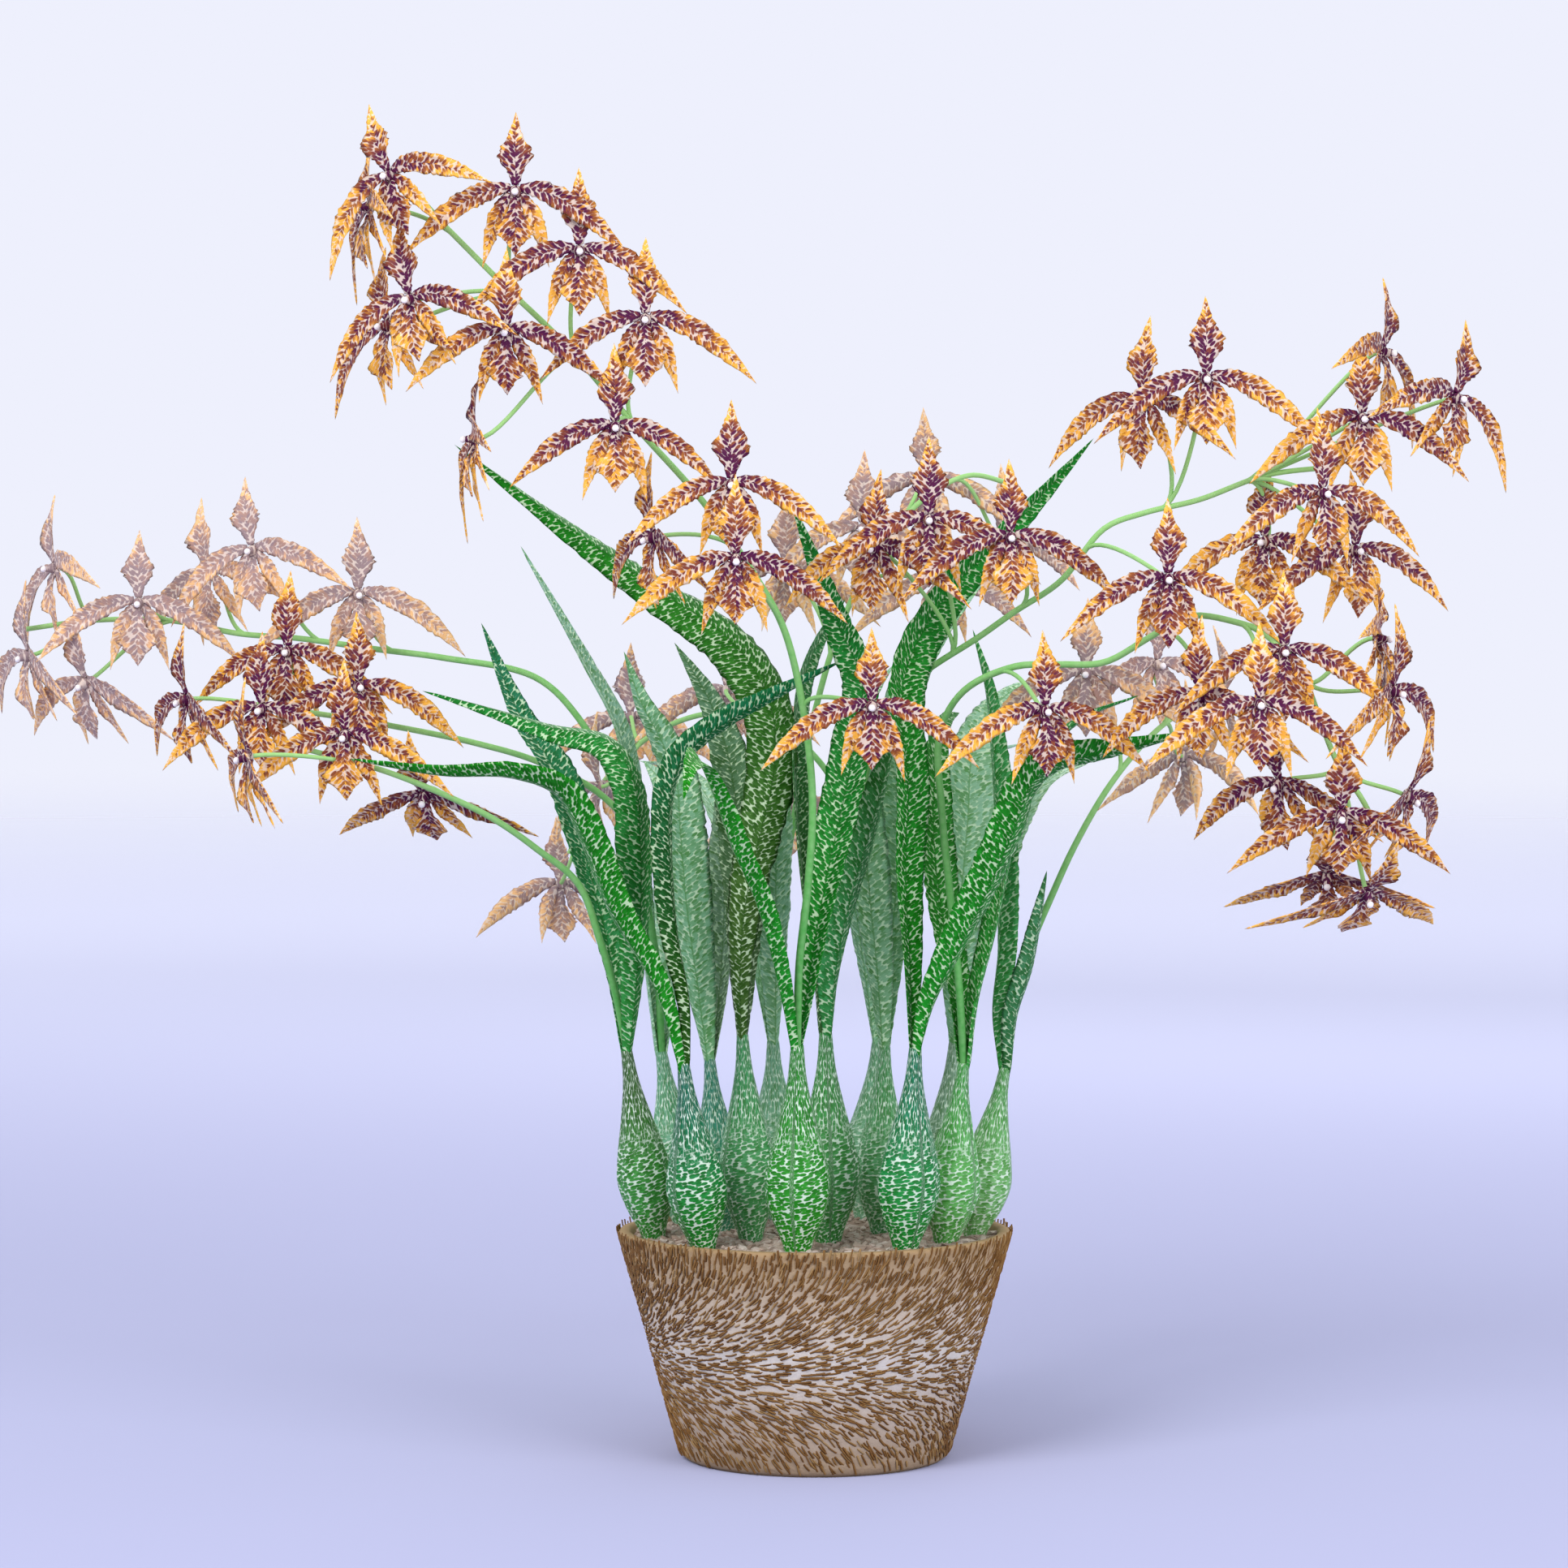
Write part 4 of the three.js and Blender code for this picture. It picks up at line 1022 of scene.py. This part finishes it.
def make_leaf(name, count, row, material):
    """A folded blade along its midrib."""
    bulb, out, width, twist, low, high, path = row
    outward = heading(out)
    foot = seen(*BULBS[bulb - 1][1]) + outward * NECK_OFFSET + np.array([0, 0, NECK_GAP])
    curve = smooth_path([foot, *[seen(*place) for place in path]])
    root = foot - outward * NECK_OFFSET * ROOT_INWARD - np.array([0, 0, LEAF_ROOT])
    curve = np.vstack([root, curve])
    steps = np.linspace(0, 1, LEAF_RINGS + 1)
    points, directions, reached = walk(curve, steps)
    faces_up = carried(directions, -outward)
    faces_up = turned(faces_up, directions, np.radians(twist) * steps)
    lefts = np.cross(faces_up, directions)
    section = blade_section(LEAF_ACROSS)
    side, top = section[:, 0], section[:, 1]
    skin, lay, tint = [], [], []
    # Painted light: a leaf of a back bulb is mixed towards a pale green.
    paler = BACK_PAINTED_LIGHT_SHARE if bulb >= FIRST_BACK_BULB else 0
    low, high, pale = (np.array(linear(tone)) for tone in (low, high, PAINTED_LIGHT_GREEN))
    low, high = toned(low, pale, paler), toned(high, pale, paler)
    fray = np.random.default_rng(count).uniform(-LEAF_FRAY, LEAF_FRAY, (LEAF_RINGS, 2))
    for ring in range(LEAF_RINGS):
        step = steps[ring]
        half = leaf_width(step, width) / 2
        fold = math.radians(FOLD_BLADE + (FOLD_BASE - FOLD_BLADE) * (1 - step) ** FOLD_EASE)
        thick = LEAF_THICK * (1 - step * LEAF_THINNING) * (THIN_EDGE + (1 - THIN_EDGE) * (1 - side ** 2))
        thick = np.minimum(thick, half)
        lift = half * math.sin(fold) * np.abs(side) ** FOLD_ROUND + (top - 0.5) * thick
        across = frayed(side, fray[ring], 6) * half * math.cos(fold)
        skin.append(points[ring] + np.outer(across, lefts[ring]) + np.outer(lift, faces_up[ring]))
        lay.append(lay_row(side * half, reached[ring] + count * LEAF_SHIFT))
        tint.append(np.tile(toned(low, high, step * UPPER_PACE - UPPER_START), (len(side), 1)))
    skin.append(points[-1:])
    lay.append([[0, reached[-1] + count * LEAF_SHIFT, 0]])
    tint.append([high])
    faces = tube_faces(LEAF_RINGS, len(side), tip=True)
    return make_piece(name + "_blade", np.vstack(skin), faces, [material],
                      lay=np.vstack(lay), tint=np.vstack(tint))


LEATHERY = leaf_skin()
print("the leaves of bulb", FIRST_BACK_BULB, "and on are paler")
for index, leaf_row in enumerate(LEAVES):
    node = f"leaf_{leaf_row[0]:02d}{'ab'[index % 2]}"
    placed(make_leaf(node, index, leaf_row, LEATHERY), "leaf", node)
print("leaves:", len(LEAVES))

# %% [markdown]
# The sprays
# A spray is one wiry stem that rises from the top of a bulb, arches over and carries its flowers on
# thin stalks. The stems are lines with a thickness, so they suit Geometry Nodes: the script makes the
# bare lines with a thickness and a colour at each point, and a small tree turns every line into a
# round stem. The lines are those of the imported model, so that each flower stays on its own stalk.

# %% The sprays' lines and flowers
# The bulb, the places that the stem passes, and its flowers as (right, up, back, turn, nod, roll).
# A turn, nod or roll that is left out is 0.
SPRAYS = {
    "left_high": (2, [
        (-7, 225, -76), (-3, 262, -82), (-1, 300, -86), (-5, 340, -86), (-14, 378, -86), (-27, 402, -86),
        (-50, 435, -86), (-83, 472, -86), (-112, 506, -88), (-142, 535, -90), (-172, 565, -92),
        (-190, 582, -92)], [
        (-193, 584, -108, -30, 0, 24), (-202, 570, -82, -75, 0, 20), (-136, 577, -104),
        (-107, 550, -104, 4), (-77, 519, -104), (-184, 528, -106, -22, 0, 12),
        (-194, 516, -80, -50, 0, 14), (-140, 514, -108, -8, 8), (-154, 465, -92, -80, 0, 22),
        (-91, 470, -110, 5), (-38, 444, -112), (-36, 410, -132, 3, 6), (-73, 420, -96, -60, 10),
        (26, 343, -104)]),
    "right_high": (7, [
        (8, 228, -20), (15, 264, -12), (21, 300, -6), (28, 332, -6), (39, 350, -16), (55, 362, -32),
        (74, 374, -44), (91, 386, -50), (112, 400, -54), (132, 424, -58), (150, 431, -60),
        (175, 437, -62), (205, 448, -64), (236, 452, -66)], [
        (28, 415, -66, -28), (52, 428, -76), (89, 420, -82, 5), (150, 482, -76, -35), (178, 492, -92),
        (249, 474, -92, 5), (258, 504, -74, 60, 0, -20), (291, 483, -84, 40, 0, -20),
        (231, 440, -112, 20), (205, 418, -62, -25), (246, 414, -72, 20), (161, 401, -118)]),
    "right_low": (4, [
        (66, 215, -40), (62, 255, -44), (58, 295, -44), (57, 330, -50), (68, 350, -62), (91, 361, -72),
        (111, 362, -80), (132, 363, -86), (152, 374, -92), (170, 384, -98), (193, 381, -104),
        (210, 374, -108), (222, 358, -110), (230, 338, -112), (238, 318, -112), (250, 300, -112),
        (258, 284, -112)], [
        (105, 341, -104, 12), (214, 368, -132), (176, 348, -124, -30, 6), (203, 344, -156),
        (256, 374, -108, 75, 0, -30), (263, 350, -122, 55, 10), (212, 308, -118, -35, 20),
        (240, 294, -136, 0, 20), (270, 302, -112, 60, 25), (234, 266, -104, -10, 55),
        (252, 258, -122, 25, 55)]),
    "left_back": (10, [
        (-72, 225, 46), (-80, 268, 40), (-92, 308, 38), (-108, 338, 40), (-127, 356, 44), (-169, 365, 54),
        (-200, 369, 62), (-236, 374, 72), (-262, 376, 78), (-294, 382, 86), (-330, 382, 92),
        (-360, 378, 96)], [
        (-256, 414, 54, -20, 0, 10), (-276, 404, 84, -35, 0, 14), (-308, 390, 62), (-208, 394, 40, 10),
        (-346, 406, 78, -60, 0, 20), (-358, 366, 84, -60, 10), (-332, 354, 66, -40, 20)]),
    "left_middle": (9, [
        (-56, 215, 22), (-66, 250, 28), (-78, 280, 28), (-98, 303, 28), (-127, 318, 28), (-154, 326, 26),
        (-177, 331, 22), (-216, 338, 14), (-245, 342, 8), (-268, 345, 4)], [
        (-286, 346, -2, -60, 10), (-252, 342, -16, -15, 6), (-208, 352, 0, 15), (-240, 368, 14, -10)]),
    "left_low": (6, [
        (-91, 212, -24), (-98, 236, -29), (-108, 262, -32), (-127, 278, -36), (-144, 290, -40),
        (-161, 299, -44), (-195, 313, -50), (-238, 325, -56)], [
        (-258, 320, -78, -72, 10), (-178, 303, -32, -15, 45), (-214, 330, -58, -10, 10)]),
    "back_high": (13, [
        (-17, 225, 78), (-14, 262, 90), (-8, 300, 100), (0, 340, 108), (12, 380, 114), (28, 412, 120),
        (48, 436, 128), (70, 448, 142), (90, 444, 158)], [
        (50, 446, 150, 170), (22, 424, 104, -10), (-13, 406, 128, 200), (84, 420, 166, 150, 10),
        (58, 400, 110, 20)]),
    "right_back": (5, [
        (89, 202, 6), (98, 232, 16), (108, 256, 22), (119, 280, 30), (134, 306, 40), (150, 326, 54),
        (164, 338, 72), (176, 340, 94)], [
        (124, 358, 34, -10), (156, 362, 50, 25), (186, 344, 100, 110), (168, 320, 96, 140, 10)]),
    "back_low": (14, [
        (26, 226, 80), (20, 268, 96), (10, 306, 114), (-14, 332, 140), (-44, 340, 168), (-74, 330, 194),
        (-98, 306, 214), (-112, 276, 226)], [
        (-40, 350, 190, 170), (-84, 338, 214, 190, 5), (-98, 306, 192, 240, 10),
        (-116, 262, 230, 200, 20), (-12, 300, 158, 160, 10)]),
}

# %% Stems
STEM_BASE_RADIUS = 1.8
STEM_TIP_RADIUS = 1.2
STEM_STEP = 38
STEM_COLOURS = ("#2f9a30", "#94cc72")
PEDICEL_RADIUS = 1.0
PEDICEL_LEAD = 20
PEDICEL_REACH = 13
PEDICEL_EASE = 0.4
HUB_BACK = 1
FIRST_JOINT = 0.25
STEM_POINTS = 110
STALK_POINTS = 15
STEM_SIDES = 10
YELLOW_PACE = 1.3
YELLOW_START = 0.15


def stem_skin():
    """A wiry green stalk: smooth and half matt, paler and yellower towards its tip."""
    tree, paint = start_material("green_stalk", 0.55, 0.2)
    tint = attribute(tree, "tint")["Color"]
    paler = blend(tree, 0.3, tint, linear("#d4ecbc"))
    return paint(blend(tree, speckle(tree, 380), tint, paler))


def bloom_axes(right, up, back, turn=0, nod=0, roll=0):
    """The middle of a flower and its own directions: across, upward and towards its face."""
    face = heading(turn - 90) * math.cos(math.radians(nod))
    face[2] = -math.sin(math.radians(nod))
    across = unit(np.cross([0, 0, 1], face))
    across = turned(across[None], face[None], [math.radians(roll)])[0]
    return seen(right, up, back), across, np.cross(face, across), face


def stalk_line(stem, joints, bloom):
    """The bent line of a thin stalk, from a joint of the stem to the back of a flower."""
    centre, _, _, face = bloom_axes(*bloom)
    places, ways, _ = walk(stem, joints)
    beside = np.argmin(np.linalg.norm(places - centre, axis=1))
    lower = centre - ways[beside] * PEDICEL_LEAD
    joint = np.argmin(np.linalg.norm(places - lower, axis=1))
    root = places[joint]
    reach = min(PEDICEL_REACH, np.linalg.norm(root - centre) * PEDICEL_EASE)
    corners = [root, root + ways[joint] * reach, centre - face * reach, centre - face * HUB_BACK]
    t = np.linspace(0, 1, STALK_POINTS)[:, None]
    weights = [(1 - t) ** 3, 3 * t * (1 - t) ** 2, 3 * t ** 2 * (1 - t), t ** 3]
    return sum(weight * corner for weight, corner in zip(weights, corners)), joints[joint]


def stem_tree():
    """Turns bare lines with a radius at each point into round stems."""
    tree, given = new_tree("round_stems", {"Sides": "Int", "Material": "Material"})
    thickness = add(tree, "GeometryNodeInputNamedAttribute", {"Name": "radius"})
    curve = add(tree, "GeometryNodeMeshToCurve", {0: given["Geometry"]})
    section = add(tree, "GeometryNodeCurvePrimitiveCircle", {"Resolution": given["Sides"], "Radius": 1.0})
    tube = add(tree, "GeometryNodeCurveToMesh", {
        "Curve": curve.outputs[0], "Profile Curve": section.outputs[0], "Fill Caps": True,
        "Scale": thickness.outputs[0],
    })
    return end_tree(tree, tube.outputs[0], given["Material"])


def bare_lines(name, bulb, path, blooms):
    """A spray's stem and stalks as lines, with their thickness and colour at each point."""
    foot = seen(*BULBS[bulb - 1][1]) + np.array([0, 0, NECK_GAP])
    stem = smooth_path([foot, *[seen(*place) for place in path]])
    length = walk(stem, [1.0])[2][0]
    count = round(length / STEM_STEP)
    joints = [step / count for step in range(count) if step / count > FIRST_JOINT]
    steps = np.linspace(0, 1, STEM_POINTS)
    centres = walk(stem, steps)[0]
    root = centres[:1] - np.array([0, 0, LEAF_ROOT])
    ripe = np.concatenate([[0], steps])
    radii = STEM_BASE_RADIUS + (STEM_TIP_RADIUS - STEM_BASE_RADIUS) * ripe
    lines = [(np.vstack([root, centres]), radii, ripe)]
    for bloom in blooms:
        line, step = stalk_line(stem, joints, bloom)
        lines.append((line, np.full(len(line), PEDICEL_RADIUS), np.linspace(step, 1, len(line))))
    ends = np.cumsum([len(line[0]) for line in lines])
    places, radii, ripe = (np.concatenate(values) for values in zip(*lines))
    edges = [(one, one + 1) for one in range(len(places) - 1) if one + 1 not in ends]
    base, tip = (np.array(linear(colour)) for colour in STEM_COLOURS)
    tint = toned(base, tip, ripe[:, None] * YELLOW_PACE - YELLOW_START)
    return make_piece(name, places, [], edges=edges, radius=radii * MM, tint=tint)


STALK = stem_skin()
ROUND_STEMS = stem_tree()
for title, (bulb, path, blooms) in SPRAYS.items():
    stems = bare_lines(f"spray_{title}_stem", bulb, path, blooms)
    grow(stems, ROUND_STEMS, sides=STEM_SIDES, material=STALK)
    placed(stems, "spray", f"spray_{title}")
print("sprays:", len(SPRAYS), "with", sum(len(row[2]) for row in SPRAYS.values()), "flowers")

# %% [markdown]
# The flowers
# Each flower is a spidery star about ten centimetres across: one sepal up, two long petals that arch
# out and hang, two sepals below and a pointed lip. They are maroon at the heart, then brown, with
# yellow along the edges and at the tips. Every blade is a thin closed skin along a bent line, with the
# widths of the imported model, a raised keel and a slightly waved edge. The colour goes by how far along
# and across the blade a stroke lies, plus chance, so the three colours mingle as they do on the petal.

# %% Petal skin
PETAL_CHEVRON = 48


def petal_skin(name, painted_pale):
    """Thin waxy petals: maroon, brown and golden yellow strokes over pale tissue. The back flowers are mixed
    towards a pale colour: painted light.
    """
    tree, paint = start_material(name, 0.5, 0.15)
    way, _, ripe = slanted(tree, PETAL_CHEVRON)
    mask, chance = strokes(tree, way, PETAL_STROKE, PETAL_EDGES)
    spread = add(tree, "ShaderNodeMapRange", {"Value": chance, "To Min": -0.24, "To Max": 0.24}).outputs[0]
    colour = ramp(tree, number(tree, "ADD", ripe, spread), (0.0, "#4c0c3c"), (0.24, "#54163c"),
                  (0.34, "#753430"), (0.52, "#8e4c28"), (0.62, "#b4702e"), (0.72, "#f0aa3c"),
                  (1.0, "#fcbc4c"))
    gap = blend(tree, PETAL_GAP, colour, linear("#f8e6d2"))
    petal = blend(tree, mask, gap, colour)
    # Painted light: the petals of the back sprays are mixed towards a pale colour by this share.
    return paint(blend(tree, painted_pale, petal, linear("#f0ded2")), mask, BLADE_RELIEF)


def anther_wax():
    """The white cap on the tip of the column: smooth and waxy, a bright dot at the heart."""
    tree, paint = start_material("white_anther_cap", 0.35)
    return paint(blend(tree, speckle(tree, 900), linear("#fffdf6"), linear("#efe4ea")))


# %% The form of one flower
HUB_RADIUS = 3.4
BLADE_ROOT = 2.7
BLADE_THICK = 0.9
BLOOM_VARIATION = 0.05
KEEL = 0.16
PETAL_SHIFT = 900
TONE_SPREAD = 0.3
KEEL_START = 0.12
WAVE = 0.5
WAVE_PACE = 17
ROOT_REACH = 0.18
ROOT_SWELL = 1.5
OUTLINE = 40
PETAL_RINGS = 34
PETAL_ACROSS = 6
PETAL_FRAY = 0.13
LIP_ANGLE = -90
LIP_ACROSS = 10
COLUMN_SIDES = 8
COLUMN_LEAN = 0.12
COLUMN_TONE = 0.12

# Angle, bend, tip, widths along it, how ripe its root, middle and tip are (0 maroon, 1 yellow)
BLADES = [
    (90, (0, 18, 2), (0, 36, -5), [(0.18, 7), (0.4, 15.5), (0.68, 7)], (0.04, 0.38, 0.86)),
    (30, (22, 1, 7), (48, -28, 0), [(0.27, 8.5), (0.64, 8.5)], (0.1, 0.42, 0.72)),
    (-30, (9, -10, 2), (14, -32, -3), [(0.45, 7.5)], (0.2, 0.6, 0.84)),
    (-90, (0, -13, 7), (0, -29, 3), [(0.34, 7.2), (0.62, 17.5), (0.84, 6.5)], (0.02, 0.44, 0.4)),
    (-150, (-9, -10, 2), (-14, -32, -3), [(0.45, 7.5)], (0.2, 0.6, 0.84)),
    (150, (-22, 1, 7), (-48, -28, 0), [(0.27, 8.5), (0.64, 8.5)], (0.1, 0.42, 0.72)),
]
EDGE_RIPER = 0.3


def random_from(seed):
    """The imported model's fixed sequence of random numbers from 0 to 1."""
    state = seed
    while True:
        state = (state * 1664525 + 1013904223) % 2 ** 32
        yield state / 2 ** 32


def blade_skin(blade, size, chance, rings, across):
    """One sepal, petal or lip in the flower's own directions, with its lay."""
    angle, bend, tip, widths, ripeness = blade
    root = heading(angle) * BLADE_ROOT
    bend, tip = np.array(bend) * size, np.array(tip) * size
    t = np.linspace(0, 1, rings + 1)[:, None]
    points = root * (1 - t) ** 2 + bend * 2 * t * (1 - t) + tip * t ** 2
    along = unit((bend - root) * 2 * (1 - t) + (tip - bend) * 2 * t)
    side = unit(np.cross([0, 0, 1], along))
    flat = np.cross(along, side)
    reached = np.concatenate([[0], np.cumsum(np.linalg.norm(np.diff(points, axis=0), axis=1))])
    outline = smooth_path([(0, HUB_RADIUS, 0), *[(OUTLINE * s, w * size, 0) for s, w in widths],
                           (OUTLINE, 0, 0)])
    width = np.interp(t[:, 0] * OUTLINE, outline[:, 0], outline[:, 1])
    section = blade_section(across)
    x, top = section[:, 0], section[:, 1]
    heart, middle, end = ripeness
    ripe = np.interp(t[:, 0], [0, 0.2, 0.55, 1], [heart, heart + 0.12, middle, end])
    fray = np.random.default_rng(int(chance * 1e6)).uniform(-PETAL_FRAY, PETAL_FRAY, (rings, 2))
    skin, lay = [], []
    for ring in range(rings):
        step = t[ring, 0]
        swell = max(0, 1 - step / ROOT_REACH) * ROOT_SWELL
        thick = BLADE_THICK * (0.5 + 0.5 * (1 - x ** 2)) + swell * (1 - x ** 2)
        thick = np.minimum(thick, width[ring])
        wave = np.sin(step * WAVE_PACE + chance * 6 + 2 * x) * np.abs(x) ** 3 * math.sin(math.pi * step)
        keel = KEEL * width[ring] * x ** 2 * math.sin(math.pi * min(1, step + KEEL_START))
        lift = keel + WAVE * wave + (top - 0.5) * thick
        across = frayed(x, fray[ring], 5) * width[ring] / 2
        skin.append(points[ring] + np.outer(across, side[ring]) + np.outer(lift, flat[ring]))
        edge = EDGE_RIPER * np.abs(x) ** 1.6 * min(1, step * 4)
        tone = ripe[ring] + edge + (chance - 0.5) * TONE_SPREAD * min(1, step * 3)
        lay.append(lay_row(x * width[ring] / 2, reached[ring] + chance * PETAL_SHIFT, tone))
    skin.append(points[-1:])
    lay.append([[0, reached[-1] + chance * PETAL_SHIFT, ripe[-1] + (chance - 0.5) * TONE_SPREAD]])
    return np.vstack(skin), np.vstack(lay), tube_faces(rings, len(x), tip=True)


def column_skin():
    """The short column in the middle of a flower, and the white cap on its end."""
    angles = np.linspace(0, 2 * math.pi, COLUMN_SIDES, endpoint=False)
    circle = np.column_stack([np.cos(angles), np.sin(angles), np.zeros(COLUMN_SIDES)])
    column = [(2.9, -1.4), (2.6, 1.6), (1.7, 3.4), (1.5, 4.6), (0.9, 5.2)]
    cap = [(0.6, 4.6), (1.4, 5.1), (1.6, 6.0), (1.1, 6.9), (0.4, 7.2)]
    skins = []
    for rows in (column, cap):
        rings = [circle * radius + np.array([0, -COLUMN_LEAN * height, height]) for radius, height in rows]
        skins.append((np.vstack(rings), tube_faces(len(rows), COLUMN_SIDES)))
    return skins


COLUMN = column_skin()


def make_blooms(name, seed, blooms, materials):
    """All the flowers of one spray in one mesh."""
    chances = random_from(seed)
    hue = np.random.default_rng(seed)
    points, lay, faces, indices = [], [], [], []
    count = 0

    def put(skin, coat, sides, kind, axes):
        nonlocal count
        centre, across, upward, face = axes
        points.append(centre + skin @ np.array([across, upward, face]))
        lay.append(coat)
        faces.extend([corner + count for corner in one] for one in sides)
        indices.extend([kind] * len(sides))
        count += len(skin)

    for bloom in blooms:
        axes = bloom_axes(*bloom)
        for blade in BLADES:
            size = 1 + (next(chances) * 2 - 1) * BLOOM_VARIATION
            across = LIP_ACROSS if blade[0] == LIP_ANGLE else PETAL_ACROSS
            skin, coat, sides = blade_skin(blade, size, hue.random(), PETAL_RINGS, across)
            put(skin, coat, sides, 0, axes)
        for kind, (skin, sides) in enumerate(COLUMN):
            coat = lay_row(skin[:, 0], skin[:, 2] + hue.random() * PETAL_SHIFT, COLUMN_TONE)
            put(skin, coat, sides, kind, axes)
    return make_piece(name, np.vstack(points), faces, materials, indices, lay=np.vstack(lay))


FIRST_BLOOM_SEED = 21
# The sprays at the back get petals painted paler: painted light, as on the back leaves.
BACK_SPRAYS_PAINTED_PALE = ("left_back", "back_high", "right_back", "back_low")
FRESH, BACK_PETALS_PAINTED_PALE, CAP = petal_skin("waxy_petal", 0.0), petal_skin("faded_petal", 0.3), anther_wax()
for index, (title, (_, _, blooms)) in enumerate(SPRAYS.items()):
    petals = BACK_PETALS_PAINTED_PALE if title in BACK_SPRAYS_PAINTED_PALE else FRESH
    flowers = make_blooms(f"spray_{title}_flowers", index + FIRST_BLOOM_SEED, blooms, [petals, CAP])
    placed(flowers, "spray", f"spray_{title}")
    print(flowers.name, len(flowers.data.polygons), "faces")
